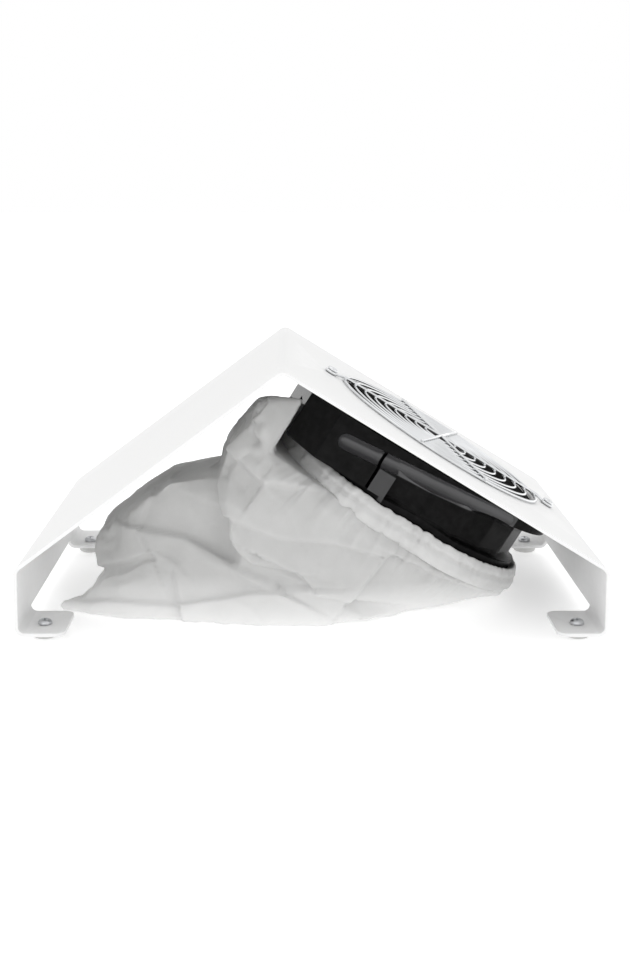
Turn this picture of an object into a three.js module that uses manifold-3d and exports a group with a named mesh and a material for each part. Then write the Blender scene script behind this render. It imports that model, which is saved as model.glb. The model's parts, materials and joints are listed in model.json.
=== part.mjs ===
// Nail dust collector: a folded sheet stand that serves as a hand rest, an axial fan under its right slope
// that draws air through a wire guard, and a soft bag on the fan's outlet that keeps the dust.
// Millimetres, +Z up, X along the stand, Y along the ridge.
// The origin is on the table, under the stand's centre.
import * as THREE from "three";
import { mergeVertices } from "three/addons/utils/BufferGeometryUtils.js";
import Module from "manifold-3d";

const wasm = await Module();
wasm.setup();

// ---------- driving dimensions ----------

const CLEARANCE = 0.3; // between pieces that touch
const RUNNING_CLEARANCE = 0.04; // between the shaft and its bushes

// folded sheet stand
const STAND_LENGTH = 334;
const STAND_DEPTH = 215;
const SHEET_THICKNESS = 2;
const RIDGE_HEIGHT = 156.5; // where the top faces of the two slopes would meet
const RIDGE_OFFSET = -16; // the ridge stands this far from the middle
const FOLD_HEIGHT = 43.5; // where a slope's top face would meet its end flange
const BEND_RADIUS = 4; // inside every bend
const SLOT_RISE = 5.7; // the flange's lower edge stands this high above the tabs' underside

// foot tabs, feet and their fasteners
const FOOT_HEIGHT = 4.5;
const FOOT_RADIUS = 7.6;
const TAB_LENGTH = 28;
const TAB_DEPTH = 39;
const TAB_CORNER_RADIUS = 6;
const FOOT_INSET_X = 14.2;
const NEAR_FOOT_INSET_Y = 16.5;
const FAR_FOOT_INSET_Y = 27;
const SCREW_RADIUS = 2;
const SCREW_HEAD_RADIUS = 4;
const SCREW_HEAD_HEIGHT = 2.6;
const NUT_FLATS = 7;
const FOOT_NUT_HEIGHT = 2;
const FOOT_NUT_LIFT = 0.8; // the nut's underside above the table
const FOOT_EDGE = 0.8;
const FAN_NUT_HEIGHT = 3.2;
const WASHER_RADIUS = 4.5;
const WASHER_THICKNESS = 0.8;

// fan: its centre on the right slope, its plan and its depth
const FAN_FROM_RIDGE = 115.5;
const FAN_DEPTH = 38;
const FAN_RADIUS = 86;
const FAN_HALF_WIDTH = 75;
const GASKET_THICKNESS = 4.7;
const GASKET_INSET = 1.5;
const INTAKE_RADIUS = 70;
const BORE_RADIUS = 69;
const NECK_RADIUS = 72;
const OUTLET_RIM_RADIUS = 79;
const OUTLET_RIM_LENGTH = 7.3;
const FLANGE_THICKNESS = 6;
const FLARE_DEPTH = 8;
const FLARE_INSET = 2; // the flare meets the flange this far inside its edge
const MOUNTING_RADIUS = 81; // from the fan's axis to each mounting hole
const NUT_WAY = 1.6; // room for a wrench round each fan nut

// terminal housing at the fan's upper end, the rib and the wire channel beside it
const HOUSING_REACH = 90;
const HOUSING_INNER_X = -37;
const HOUSING_CHAMFER_X = 19;
const HOUSING_CHAMFER_Y = 16;
const RIB_GAP = 2;
const RIB_WIDTH = 11;
const RIB_DEPTH = 17; // inwards from the fan's flat side
const CHANNEL_RADIUS = 5;
const CHANNEL_REACH = 5.5; // how deep the channel cuts into the wall
const CHANNEL_TILT = THREE.MathUtils.degToRad(5.3);
const CHANNEL_START = -60;
const CHANNEL_END = 46;
const CHANNEL_DEPTH = 17; // its middle, below the slope's top face

// motor and impeller
const SHAFT_RADIUS = 2.5;
const BUSH_RADIUS = 6;
const BUSH_LENGTH = 6;
const BUSH_SIDES = 24;
const TUBE_WALL = 2.6;
const SEAT_RADIUS = 40;
const SEAT_THICKNESS = 4;
const SEAT_RECESS = 2.4; // in the seat's outer face, for the circlip
const SHAFT_WAY = 1.5; // air round the shaft inside the bearing tube
const ARM_WIDTH = 7;
const ARM_COUNT = 4;
const HUB_RADIUS = 43;
const HUB_WALL = 1.6;
const HUB_EDGE = 2;
const HUB_SEAT_GAP = 3; // from the motor seat to the hub's open end
const CUP_WALL = 2.2;
const AIR_GAP = 0.9;
const CORE_HEIGHT = 14;
const CORE_SLOTS = 8;
const CORE_SLOT_WIDTH = 5;
const CORE_SLOT_DEPTH = 8;
const WINDING_INNER_RADIUS = 14;
const WINDING_OUTER_RADIUS = 28;
const FRONT_WINDING_HEIGHT = 3.2;
const REAR_WINDING_HEIGHT = 4.4;
const WINDING_AIR = 1.5; // from the coils to the cup's floor
const BLADE_COUNT = 5;
const BLADE_THICKNESS = 1.8;
const BLADE_CHORD = 44;
const BLADE_CAMBER_RADIUS = 60;
const BLADE_PITCH = THREE.MathUtils.degToRad(32);
const TIP_GAP = 1.8;
const IMPELLER_SETBACK = 3.5; // from the frame's front face to the hub's face
const CIRCLIP_THICKNESS = 0.9;
const CIRCLIP_WIDTH = 2;

// terminals
const TERMINAL_LENGTH = 24;
const TERMINAL_HEIGHT = 12;
const TERMINAL_DEPTH = 9;
const TERMINAL_SETBACK = 1.5; // the block's face behind the housing's end
const TERMINAL_RISE = 6; // above the housing's lower edge
const TERMINAL_ROOT = 2; // plastic behind each blade
const BLADE_TERMINAL = { width: 6.3, thickness: 0.8, length: 8, spacing: 11 };

// finger guard
const GUARD_RING_WIRE = 0.85;
const GUARD_ROD_WIRE = 0.95;
const GUARD_OUTER_RADIUS = 71;
const GUARD_RING_COUNT = 9;
const GUARD_RING_PITCH = 7.5;
const GUARD_ROD_OVERHANG = 2;
const GUARD_ROD_ANGLE = THREE.MathUtils.degToRad(72.3); // of the two cross rods, from the slope's direction
const EYELET_RADIUS = 3.4; // to the middle of the wire
const WELD_DEPTH = 0.3; // the rings sink this far into the rods
const GUARD_SCREW_HEAD_RADIUS = 3.6;
const GUARD_SCREW_HEAD_HEIGHT = 1.8;

// dust bag
const HEM_LENGTH = 7;
const HEM_THICKNESS = 5;
const HEM_GAP = 0.8; // from the outlet rim to the hem and its elastic
const ELASTIC_WIDTH = 2.4;
const BAG_CLEARANCE = 1.5;
const BAG_FLOOR_GAP = 0.4;
// The filled bag as pillows, each stretched over its own points, from the table under the stand's centre.
const BAG_PILLOWS = {
  hump: [
    [-4, -42, 131], [-31, -40, 128], [-52, -46, 96], [-55, -60, 78], [-49, -67, 60], [-47, -68, 46],
    [-36, -69, 34], [-12, -70, 29], [8, -71, 17], [26, -72, 15], [46, -74, 47], [20, -74, 74],
    [-12, -62, 100], [-4, 36, 117], [-31, 34, 114], [-52, 40, 88], [-49, 66, 58], [-12, 70, 29],
    [46, 74, 47], [20, 74, 70], [-40, 50, 1], [-40, -50, 1], [20, -60, 1], [20, 60, 1],
  ],
  back: [
    [-44, -44, 85], [-86, -44, 80], [-112, -42, 62], [-134, -32, 47], [-137, -32, 36], [-127, -40, 12],
    [-44, 44, 76], [-86, 44, 72], [-112, 42, 56], [-134, 32, 44], [-137, 32, 36], [-127, 40, 12],
    [-116, -46, 1], [-116, 46, 1], [-50, -50, 64], [-50, 50, 60], [-40, -56, 1], [-40, 56, 1],
  ],
  leftLobe: [
    [-123, -48, 25], [-96, -52, 34], [-80, -56, 29], [-134, -44, 12], [-139, -46, 5], [-128, -57, 3],
    [-78, -62, 8], [-110, -10, 30], [-84, -8, 36], [-120, 10, 20], [-130, 0, 4], [-80, 10, 4],
  ],
  farLobe: [
    [-118, 52, 22], [-92, 60, 30], [-70, 66, 24], [-130, 46, 8], [-124, 58, 1], [-74, 70, 2],
    [-30, 72, 6], [-30, 68, 26], [-84, 10, 20], [-80, 10, 2],
  ],
  ridge: [
    [-101, -32, 50], [-86, -42, 50], [-75, -48, 46], [-51, -56, 35], [-22, -63, 21], [-76, -60, 8],
    [-40, -65, 10], [-100, -20, 20], [-40, -20, 30],
  ],
  leftEdge: [
    [-149, -48, 1], [-148, -46, 4], [-122, -52, 9], [-100, -56, 9], [-76, -59, 8], [-60, -62, 8],
    [-60, -70, 1], [-114, -63, 1], [-120, -20, 2], [-60, -20, 8],
  ],
  frontEdge: [
    [-80, -58, 8], [-37, -61, 17], [0, -63, 21], [28, -62, 18], [-37, -74, 1], [0, -76, 1],
    [30, -74, 1], [57, -56, 1], [-60, -70, 1], [40, -20, 10], [-60, -20, 8],
  ],
  throat: [
    [-8, -30, 92], [22, -78, 72], [56, -79, 51], [90, -72, 30], [112, -52, 17], [125, -20, 9],
    [-8, 30, 92], [22, 78, 72], [56, 79, 51], [90, 72, 30], [112, 52, 17], [125, 20, 9],
    [24, -73, 17], [57, -66, 15], [94, -52, 10], [116, -30, 6], [57, -49, 1], [94, -23, 1],
    [24, 73, 17], [57, 66, 15], [94, 52, 10], [116, 30, 6], [57, 49, 1], [94, 23, 1], [114, 0, 1],
  ],
};

// ---------- worked out from them ----------

const HALF_LENGTH = STAND_LENGTH / 2;
const HALF_DEPTH = STAND_DEPTH / 2;
const SLOPE_RISE = RIDGE_HEIGHT - FOLD_HEIGHT;
const FAN_SLOPE_ANGLE = Math.atan2(SLOPE_RISE, HALF_LENGTH - RIDGE_OFFSET);
const PANEL_UNDERSIDE = -SHEET_THICKNESS;
const GASKET_TOP = PANEL_UNDERSIDE - CLEARANCE;
const GASKET_BOTTOM = GASKET_TOP - GASKET_THICKNESS;
const FRAME_TOP = GASKET_BOTTOM - CLEARANCE;
const FRAME_BOTTOM = FRAME_TOP - FAN_DEPTH;
const FLANGE_BOTTOM = FRAME_TOP - FLANGE_THICKNESS;
const RIM_TOP = FRAME_BOTTOM + OUTLET_RIM_LENGTH;
const SEAT_TOP = FRAME_BOTTOM + SEAT_THICKNESS;
const HUB_TOP = FRAME_TOP - IMPELLER_SETBACK;
const HUB_BOTTOM = SEAT_TOP + HUB_SEAT_GAP;
const CUP_RADIUS = HUB_RADIUS - HUB_WALL - CLEARANCE;
const CUP_TOP = HUB_TOP - HUB_WALL - CLEARANCE;
const CORE_RADIUS = CUP_RADIUS - CUP_WALL - AIR_GAP;
const TUBE_RADIUS = BUSH_RADIUS + CLEARANCE + TUBE_WALL;
const FRONT_WINDING_TOP = CUP_TOP - CUP_WALL - WINDING_AIR;
const CORE_TOP = FRONT_WINDING_TOP - FRONT_WINDING_HEIGHT - CLEARANCE;
const CORE_BOTTOM = CORE_TOP - CORE_HEIGHT;
const TUBE_TOP = FRONT_WINDING_TOP;
const SCREW_HOLE_RADIUS = SCREW_RADIUS + CLEARANCE;
const TAB_TOP = FOOT_HEIGHT + CLEARANCE + SHEET_THICKNESS;

// ---------- solids ----------

// A closed geometry as a manifold-3d solid, turned right side out.
function solid(geometry) {
  const bare = geometry.index ? geometry.toNonIndexed() : geometry.clone();
  bare.deleteAttribute("normal");
  bare.deleteAttribute("uv");
  const merged = mergeVertices(bare, 1e-4);
  const vertProperties = new Float32Array(merged.attributes.position.array);
  const triVerts = new Uint32Array(merged.index.array);
  const made = new wasm.Manifold(new wasm.Mesh({ numProp: 3, vertProperties, triVerts }));
  if (made.volume() > 0) return made;
  triVerts.reverse();
  return new wasm.Manifold(new wasm.Mesh({ numProp: 3, vertProperties, triVerts }));
}

// A solid back as a geometry, flat shaded.
function geometryOf(made) {
  const mesh = made.getMesh();
  const geometry = new THREE.BufferGeometry();
  geometry.setAttribute("position", new THREE.BufferAttribute(mesh.vertProperties, 3));
  geometry.setIndex(new THREE.BufferAttribute(mesh.triVerts, 1));
  const flat = geometry.toNonIndexed();
  flat.computeVertexNormals();
  return flat;
}

const join = (first, ...others) => others.reduce((sum, other) => sum.add(other), first);
const cut = (first, ...others) => others.reduce((rest, other) => rest.subtract(other), first);

// A shape drawn in XY, standing from z = low to z = high.
function prism(shape, low, high) {
  const geometry = new THREE.ExtrudeGeometry(shape, { depth: high - low, bevelEnabled: false });
  return solid(geometry.translate(0, 0, low));
}

function block([x0, x1], [y0, y1], [z0, z1]) {
  const geometry = new THREE.BoxGeometry(x1 - x0, y1 - y0, z1 - z0);
  return solid(geometry.translate((x0 + x1) / 2, (y0 + y1) / 2, (z0 + z1) / 2));
}

// A rod along Z through (x, y).
function rod(radius, low, high, { x = 0, y = 0, sides = 16 } = {}) {
  const geometry = new THREE.CylinderGeometry(radius, radius, high - low, sides);
  geometry.rotateX(Math.PI / 2);
  return solid(geometry.translate(x, y, (low + high) / 2));
}

// A ring or disc turned about Z from [radius, height] points that close on themselves or on the axis.
function turned(points, sides = 40) {
  const profile = points.map(([radius, height]) => new THREE.Vector2(radius, height));
  if (points[0][0] > 0) profile.push(profile[0].clone());
  return solid(new THREE.LatheGeometry(profile, sides).rotateX(Math.PI / 2));
}

function tube(inner, outer, low, high, sides = 40) {
  return turned([[inner, low], [outer, low], [outer, high], [inner, high]], sides);
}

// The radius of a drawn polygon whose flats clear a round piece of the given radius.
const clearing = (radius, sides) => radius / Math.cos(Math.PI / sides);

// Points of an arc from one angle to another.
function arc(x, y, radius, from, to, steps) {
  const points = [];
  for (let i = 0; i <= steps; i++) {
    const angle = from + ((to - from) * i) / steps;
    points.push(new THREE.Vector2(x + radius * Math.cos(angle), y + radius * Math.sin(angle)));
  }
  return points;
}

// A circle whose two sides along X are cut flat.
function flattenedCircle(radius, halfWidth) {
  const corner = Math.asin(Math.min(1, halfWidth / radius));
  const shape = new THREE.Shape(arc(0, 0, radius, -corner, corner, 14));
  arc(0, 0, radius, Math.PI - corner, Math.PI + corner, 14).forEach((p) => shape.lineTo(p.x, p.y));
  return shape;
}

function hexagon(flats, hole) {
  const corner = clearing(flats / 2, 6);
  const shape = new THREE.Shape(arc(0, 0, corner, 0, (5 * Math.PI) / 3, 5));
  shape.holes.push(new THREE.Path(arc(0, 0, hole, 0, (11 * Math.PI) / 6, 11).reverse()));
  return shape;
}

// ---------- materials ----------

const finish = (color, roughness, metalness) =>
  new THREE.MeshStandardMaterial({ color, roughness, metalness });

const WHITE_COAT = finish(0xf0f0ef, 0.5, 0.0);
const BLACK_CASTING = finish(0x17181a, 0.42, 0.2);
const BLACK_RUBBER = finish(0x1d1d1e, 0.85, 0.0);
const PALE_RUBBER = finish(0xc4c4c2, 0.8, 0.0);
const CHROME = finish(0xd8dadc, 0.15, 1.0);
const ZINC = finish(0xa8abae, 0.35, 1.0);
const STEEL = finish(0x8e9194, 0.4, 1.0);
const BLACK_BLADE = finish(0x1b1c1e, 0.5, 0.3);
const BRONZE = finish(0x8c6a3e, 0.5, 1.0);
const LAMINATION = finish(0x5c6066, 0.6, 0.8);
const COPPER = finish(0x9a4f27, 0.45, 0.8);
const BLACK_PLASTIC = finish(0x202124, 0.55, 0.0);
const TIN = finish(0xc6c8c9, 0.3, 1.0);
const BAG_CLOTH = finish(0xdcdcda, 0.9, 0.0);

function piece(name, made, material, parent) {
  const mesh = new THREE.Mesh(geometryOf(made), material);
  mesh.name = name;
  parent.add(mesh);
  return mesh;
}

// ---------- stand ----------

// One side of the bent sheet: the line through the corners with every corner rounded.
function bentLine(corners, radius) {
  const line = [corners[0]];
  for (let i = 1; i < corners.length - 1; i++) {
    const before = corners[i - 1].clone().sub(corners[i]).normalize();
    const after = corners[i + 1].clone().sub(corners[i]).normalize();
    const half = before.angleTo(after) / 2;
    const middle = before.clone().add(after).normalize().multiplyScalar(radius / Math.sin(half));
    const centre = corners[i].clone().add(middle);
    const start = corners[i].clone().addScaledVector(before, radius / Math.tan(half)).sub(centre);
    const sweep = Math.PI - 2 * half;
    for (let step = 0; step <= 4; step++) {
      const turn = (-sweep * step) / 4;
      line.push(start.clone().rotateAround(new THREE.Vector2(), turn).add(centre));
    }
  }
  line.push(corners[corners.length - 1]);
  return line;
}

// The corners of the line at a given depth under the sheet's outer face.
function sheetCorners(depth) {
  const outer = [
    new THREE.Vector2(-HALF_LENGTH + TAB_LENGTH, FOOT_HEIGHT + CLEARANCE),
    new THREE.Vector2(-HALF_LENGTH, FOOT_HEIGHT + CLEARANCE),
    new THREE.Vector2(-HALF_LENGTH, FOLD_HEIGHT),
    new THREE.Vector2(RIDGE_OFFSET, RIDGE_HEIGHT),
    new THREE.Vector2(HALF_LENGTH, FOLD_HEIGHT),
    new THREE.Vector2(HALF_LENGTH, FOOT_HEIGHT + CLEARANCE),
    new THREE.Vector2(HALF_LENGTH - TAB_LENGTH, FOOT_HEIGHT + CLEARANCE),
  ];
  const inwards = (i) => {
    const run = outer[i + 1].clone().sub(outer[i]).normalize();
    return new THREE.Vector2(run.y, -run.x);
  };
  return outer.map((corner, i) => {
    if (i === 0) return corner.clone().addScaledVector(inwards(0), depth);
    if (i === outer.length - 1) return corner.clone().addScaledVector(inwards(i - 1), depth);
    const a = inwards(i - 1);
    const b = inwards(i);
    return corner.clone().addScaledVector(a.clone().add(b), depth / (1 + a.dot(b)));
  });
}

// A square corner of material to take away so that the tab's corner at (x, y) is round.
function cornerWaste(x, y, inwardsX, inwardsY) {
  const waste = new THREE.Shape([
    new THREE.Vector2(x - inwardsX, y - inwardsY),
    new THREE.Vector2(x + TAB_CORNER_RADIUS * inwardsX, y - inwardsY),
    ...[0, 1, 2, 3, 4, 5, 6].map((i) => {
      const angle = (Math.PI / 2) * (i / 6);
      return new THREE.Vector2(
        x + TAB_CORNER_RADIUS * (1 - Math.sin(angle)) * inwardsX,
        y + TAB_CORNER_RADIUS * (1 - Math.cos(angle)) * inwardsY,
      );
    }),
    new THREE.Vector2(x - inwardsX, y + TAB_CORNER_RADIUS * inwardsY),
  ]);
  return prism(waste, 0, TAB_TOP + 1);
}

// Every foot's place, with the tab's free edge that faces the middle of the stand.
const FEET = ["left", "right"].flatMap((side) =>
  ["near", "far"].map((row) => {
    const sideways = side === "left" ? -1 : 1;
    const depthwise = row === "near" ? -1 : 1;
    const insetY = row === "near" ? NEAR_FOOT_INSET_Y : FAR_FOOT_INSET_Y;
    return {
      name: row + "_" + side,
      x: sideways * (HALF_LENGTH - FOOT_INSET_X),
      y: depthwise * (HALF_DEPTH - insetY),
      tabEndX: sideways * (HALF_LENGTH - TAB_LENGTH),
      tabEdgeY: depthwise * (HALF_DEPTH - TAB_DEPTH),
      outerEdgeY: depthwise * HALF_DEPTH,
      sideways,
      depthwise,
    };
  }),
);

function standSheet() {
  const outerLine = bentLine(sheetCorners(0), BEND_RADIUS + SHEET_THICKNESS);
  const innerLine = bentLine(sheetCorners(SHEET_THICKNESS), BEND_RADIUS);
  const outline = new THREE.Shape([...outerLine, ...innerLine.reverse()]);
  const along = new THREE.ExtrudeGeometry(outline, { depth: STAND_DEPTH, bevelEnabled: false });
  let sheet = solid(along.rotateX(Math.PI / 2).translate(0, HALF_DEPTH, 0));
  const slotHalf = HALF_DEPTH - TAB_DEPTH;
  for (const sideways of [-1, 1]) {
    const x = [-1, 1].map((s) => sideways * HALF_LENGTH + s * (TAB_LENGTH + 1));
    sheet = cut(sheet, block(x, [-slotHalf, slotHalf], [0, FOOT_HEIGHT + CLEARANCE + SLOT_RISE]));
  }
  for (const foot of FEET) {
    sheet = cut(
      sheet,
      rod(SCREW_HOLE_RADIUS, 0, TAB_TOP + 1, foot),
      cornerWaste(foot.tabEndX, foot.tabEdgeY, foot.sideways, foot.depthwise),
      cornerWaste(foot.tabEndX, foot.outerEdgeY, foot.sideways, -foot.depthwise),
    );
  }
  const openings = join(
    rod(INTAKE_RADIUS, -3 * SHEET_THICKNESS, SHEET_THICKNESS, { sides: 48 }),
    ...[-1, 1].map((end) =>
      rod(SCREW_HOLE_RADIUS, -3 * SHEET_THICKNESS, SHEET_THICKNESS, { x: end * MOUNTING_RADIUS }),
    ),
  );
  return cut(sheet, openings.transform(fanPlace.matrixWorld.elements));
}

// ---------- feet ----------

function rubberFoot() {
  const profile = [
    [0, 0],
    [FOOT_RADIUS - FOOT_EDGE, 0],
    [FOOT_RADIUS, FOOT_EDGE],
    [FOOT_RADIUS, FOOT_HEIGHT],
    [0, FOOT_HEIGHT],
  ];
  const body = turned(profile, 20);
  const recessTop = FOOT_NUT_LIFT + FOOT_NUT_HEIGHT + CLEARANCE;
  const recess = rod(clearing(NUT_FLATS / 2, 6) + CLEARANCE, -1, recessTop);
  return cut(body, rod(SCREW_HOLE_RADIUS, -1, FOOT_HEIGHT + 1), recess);
}

// A pan-head screw hanging from z = 0, with a cross recess.
function panScrew(headRadius, headHeight, length) {
  const head = turned(
    [
      [0, 0], [headRadius, 0], [headRadius, headHeight * 0.45], [headRadius * 0.84, headHeight * 0.85],
      [headRadius * 0.55, headHeight], [0, headHeight],
    ],
    16,
  );
  const reach = headRadius * 0.55;
  const slot = headRadius * 0.13;
  const deep = headHeight * 0.5;
  const cross = join(
    block([-reach, reach], [-slot, slot], [deep, headHeight + 1]),
    block([-slot, slot], [-reach, reach], [deep, headHeight + 1]),
  );
  return cut(join(head, rod(SCREW_RADIUS, -length, 0.1)), cross);
}

const nut = (height) => prism(hexagon(NUT_FLATS, SCREW_HOLE_RADIUS), 0, height);

function addFeet(parent) {
  const screwLength = TAB_TOP + CLEARANCE - FOOT_NUT_LIFT - 0.2;
  for (const foot of FEET) {
    const place = new THREE.Group();
    place.position.set(foot.x, foot.y, 0);
    parent.add(place);
    piece("foot_" + foot.name, rubberFoot(), PALE_RUBBER, place);
    const screw = panScrew(SCREW_HEAD_RADIUS, SCREW_HEAD_HEIGHT, screwLength);
    piece("foot_screw_" + foot.name, screw, ZINC, place).position.z = TAB_TOP + CLEARANCE;
    piece("foot_nut_" + foot.name, nut(FOOT_NUT_HEIGHT), ZINC, place).position.z = FOOT_NUT_LIFT;
  }
}

// ---------- fan frame ----------
// From here on z = 0 is the top face of the right slope, +X runs down the slope and the fan's axis is Z.

function housingShape() {
  const side = FAN_HALF_WIDTH;
  return new THREE.Shape([
    new THREE.Vector2(HOUSING_INNER_X, -side),
    new THREE.Vector2(HOUSING_INNER_X, side),
    new THREE.Vector2(-HOUSING_REACH + HOUSING_CHAMFER_X, side),
    new THREE.Vector2(-HOUSING_REACH, side - HOUSING_CHAMFER_Y),
    new THREE.Vector2(-HOUSING_REACH, HOUSING_CHAMFER_Y - side),
    new THREE.Vector2(-HOUSING_REACH + HOUSING_CHAMFER_X, -side),
  ]);
}

// The barrel's wall: flared up to the flange, waisted, and flared out again to the outlet rim.
function barrel() {
  const quarter = Math.PI / 2;
  const flange = FAN_RADIUS - FLARE_INSET;
  const flareIn = arc(0, 0, 1, quarter, 0, 4).map((p) => [
    flange - (flange - NECK_RADIUS) * p.x,
    FLANGE_BOTTOM - FLARE_DEPTH * (1 - p.y),
  ]);
  const flareOut = arc(0, 0, 1, 0, quarter, 4).map((p) => [
    OUTLET_RIM_RADIUS - (OUTLET_RIM_RADIUS - NECK_RADIUS) * p.x,
    RIM_TOP + FLARE_DEPTH * (1 - p.y),
  ]);
  return turned([
    [BORE_RADIUS, FRAME_BOTTOM],
    [OUTLET_RIM_RADIUS, FRAME_BOTTOM],
    ...flareOut.reverse(),
    ...flareIn.reverse(),
    [flange, FRAME_TOP],
    [BORE_RADIUS, FRAME_TOP],
  ]);
}

// A long groove with round ends in the side wall, for the motor leads.
function wireChannel(side) {
  const length = CHANNEL_END - CHANNEL_START;
  const capsule = new THREE.CapsuleGeometry(CHANNEL_RADIUS, length, 4, 12);
  capsule.scale(1, 1, CHANNEL_REACH / CHANNEL_RADIUS);
  capsule.rotateZ(-Math.PI / 2 + CHANNEL_TILT);
  capsule.rotateX(Math.PI / 2);
  capsule.translate((CHANNEL_START + CHANNEL_END) / 2, side * FAN_HALF_WIDTH, -CHANNEL_DEPTH);
  return solid(capsule);
}

function motorSeat() {
  const arms = [];
  for (let i = 0; i < ARM_COUNT; i++) {
    const reach = (BORE_RADIUS + NECK_RADIUS) / 2;
    const arm = block([0, reach], [-ARM_WIDTH / 2, ARM_WIDTH / 2], [FRAME_BOTTOM, SEAT_TOP]);
    arms.push(arm.rotate([0, 0, (360 * (i + 0.5)) / ARM_COUNT]));
  }
  const seat = rod(SEAT_RADIUS, FRAME_BOTTOM, SEAT_TOP, { sides: 40 });
  const sides = BUSH_SIDES;
  const bearingTube = rod(TUBE_RADIUS, FRAME_BOTTOM, TUBE_TOP, { sides });
  const boreRadius = clearing(BUSH_RADIUS + CLEARANCE, sides);
  const bore = rod(boreRadius, SEAT_TOP - SEAT_THICKNESS / 2, TUBE_TOP + 1, { sides });
  const recess = rod(TUBE_RADIUS, FRAME_BOTTOM - 1, FRAME_BOTTOM + SEAT_RECESS, { sides });
  const through = rod(SHAFT_RADIUS + SHAFT_WAY, FRAME_BOTTOM - 1, TUBE_TOP, { sides });
  return cut(join(seat, ...arms, bearingTube), bore, recess, through);
}

function terminalPocket() {
  const half = TERMINAL_LENGTH / 2 + CLEARANCE;
  const low = terminalLow - CLEARANCE;
  return block(
    [-HOUSING_REACH - 1, -HOUSING_REACH + TERMINAL_DEPTH + CLEARANCE],
    [terminalY - half, terminalY + half],
    [low, low + TERMINAL_HEIGHT + 2 * CLEARANCE],
  );
}

function fanFrame() {
  const flange = prism(flattenedCircle(FAN_RADIUS, FAN_HALF_WIDTH), FLANGE_BOTTOM, FRAME_TOP);
  const housing = prism(housingShape(), RIM_TOP, FRAME_TOP);
  const ribs = [-1, 1].map((side) => {
    const x = HOUSING_INNER_X + RIB_GAP;
    const wall = [side * FAN_HALF_WIDTH, side * (FAN_HALF_WIDTH - RIB_DEPTH)];
    return block([x, x + RIB_WIDTH], wall, [RIM_TOP, FRAME_TOP]);
  });
  const limits = block(
    [-2 * FAN_RADIUS, 2 * FAN_RADIUS],
    [-FAN_HALF_WIDTH, FAN_HALF_WIDTH],
    [FRAME_BOTTOM - 1, FRAME_TOP + 1],
  );
  const bore = rod(BORE_RADIUS, FRAME_BOTTOM - 1, FRAME_TOP + 1, { sides: 48 });
  const walls = cut(join(barrel(), flange, housing, ...ribs).intersect(limits), bore);
  const screwWays = [-1, 1].flatMap((end) => [
    rod(SCREW_HOLE_RADIUS, FRAME_BOTTOM - 1, FRAME_TOP + 1, { x: end * MOUNTING_RADIUS }),
    rod(NUT_FLATS / 2 + NUT_WAY, FRAME_BOTTOM - 1, FLANGE_BOTTOM, { x: end * MOUNTING_RADIUS }),
  ]);
  const cuts = [...screwWays, wireChannel(-1), wireChannel(1), terminalPocket()];
  return join(cut(walls, ...cuts), motorSeat());
}

function gasket() {
  const outline = flattenedCircle(FAN_RADIUS - GASKET_INSET, FAN_HALF_WIDTH - GASKET_INSET);
  const pad = prism(outline, GASKET_BOTTOM, GASKET_TOP);
  const holes = [-1, 1].map((end) =>
    rod(SCREW_HOLE_RADIUS, GASKET_BOTTOM - 1, 0, { x: end * MOUNTING_RADIUS }),
  );
  return cut(pad, rod(INTAKE_RADIUS, GASKET_BOTTOM - 1, 0, { sides: 48 }), ...holes);
}

// ---------- motor and impeller ----------

function blade(index) {
  const half = BLADE_CHORD / 2 / BLADE_CAMBER_RADIUS;
  const inside = BLADE_CAMBER_RADIUS - BLADE_THICKNESS / 2;
  const outside = BLADE_CAMBER_RADIUS + BLADE_THICKNESS / 2;
  const middle = Math.PI / 2;
  const section = new THREE.Shape([
    ...arc(0, -BLADE_CAMBER_RADIUS, outside, middle - half, middle + half, 5),
    ...arc(0, -BLADE_CAMBER_RADIUS, inside, middle + half, middle - half, 5),
  ]);
  const length = BORE_RADIUS;
  const plate = new THREE.ExtrudeGeometry(section, { depth: length, bevelEnabled: false });
  plate.rotateZ(BLADE_PITCH);
  plate.rotateX(Math.PI / 2);
  plate.rotateZ(Math.PI / 2 + (2 * Math.PI * index) / BLADE_COUNT);
  return solid(plate.translate(0, 0, (HUB_TOP + HUB_BOTTOM) / 2));
}

function impeller() {
  const reach = BORE_RADIUS - TIP_GAP;
  const root = HUB_RADIUS - HUB_WALL / 2;
  const band = tube(root, reach, HUB_BOTTOM, HUB_TOP);
  const blades = [];
  for (let i = 0; i < BLADE_COUNT; i++) blades.push(blade(i).intersect(band));
  const shell = turned([
    [0, HUB_TOP - HUB_WALL],
    [HUB_RADIUS - HUB_WALL, HUB_TOP - HUB_WALL],
    [HUB_RADIUS - HUB_WALL, HUB_BOTTOM],
    [HUB_RADIUS, HUB_BOTTOM],
    [HUB_RADIUS, HUB_TOP - HUB_EDGE],
    [HUB_RADIUS - HUB_EDGE, HUB_TOP],
    [0, HUB_TOP],
  ]);
  return join(shell, ...blades);
}

function rotorCup() {
  const hole = SHAFT_RADIUS + CLEARANCE;
  return turned([
    [hole, CUP_TOP],
    [hole, CUP_TOP - CUP_WALL],
    [CUP_RADIUS - CUP_WALL, CUP_TOP - CUP_WALL],
    [CUP_RADIUS - CUP_WALL, HUB_BOTTOM],
    [CUP_RADIUS, HUB_BOTTOM],
    [CUP_RADIUS, CUP_TOP],
  ]);
}

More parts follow.
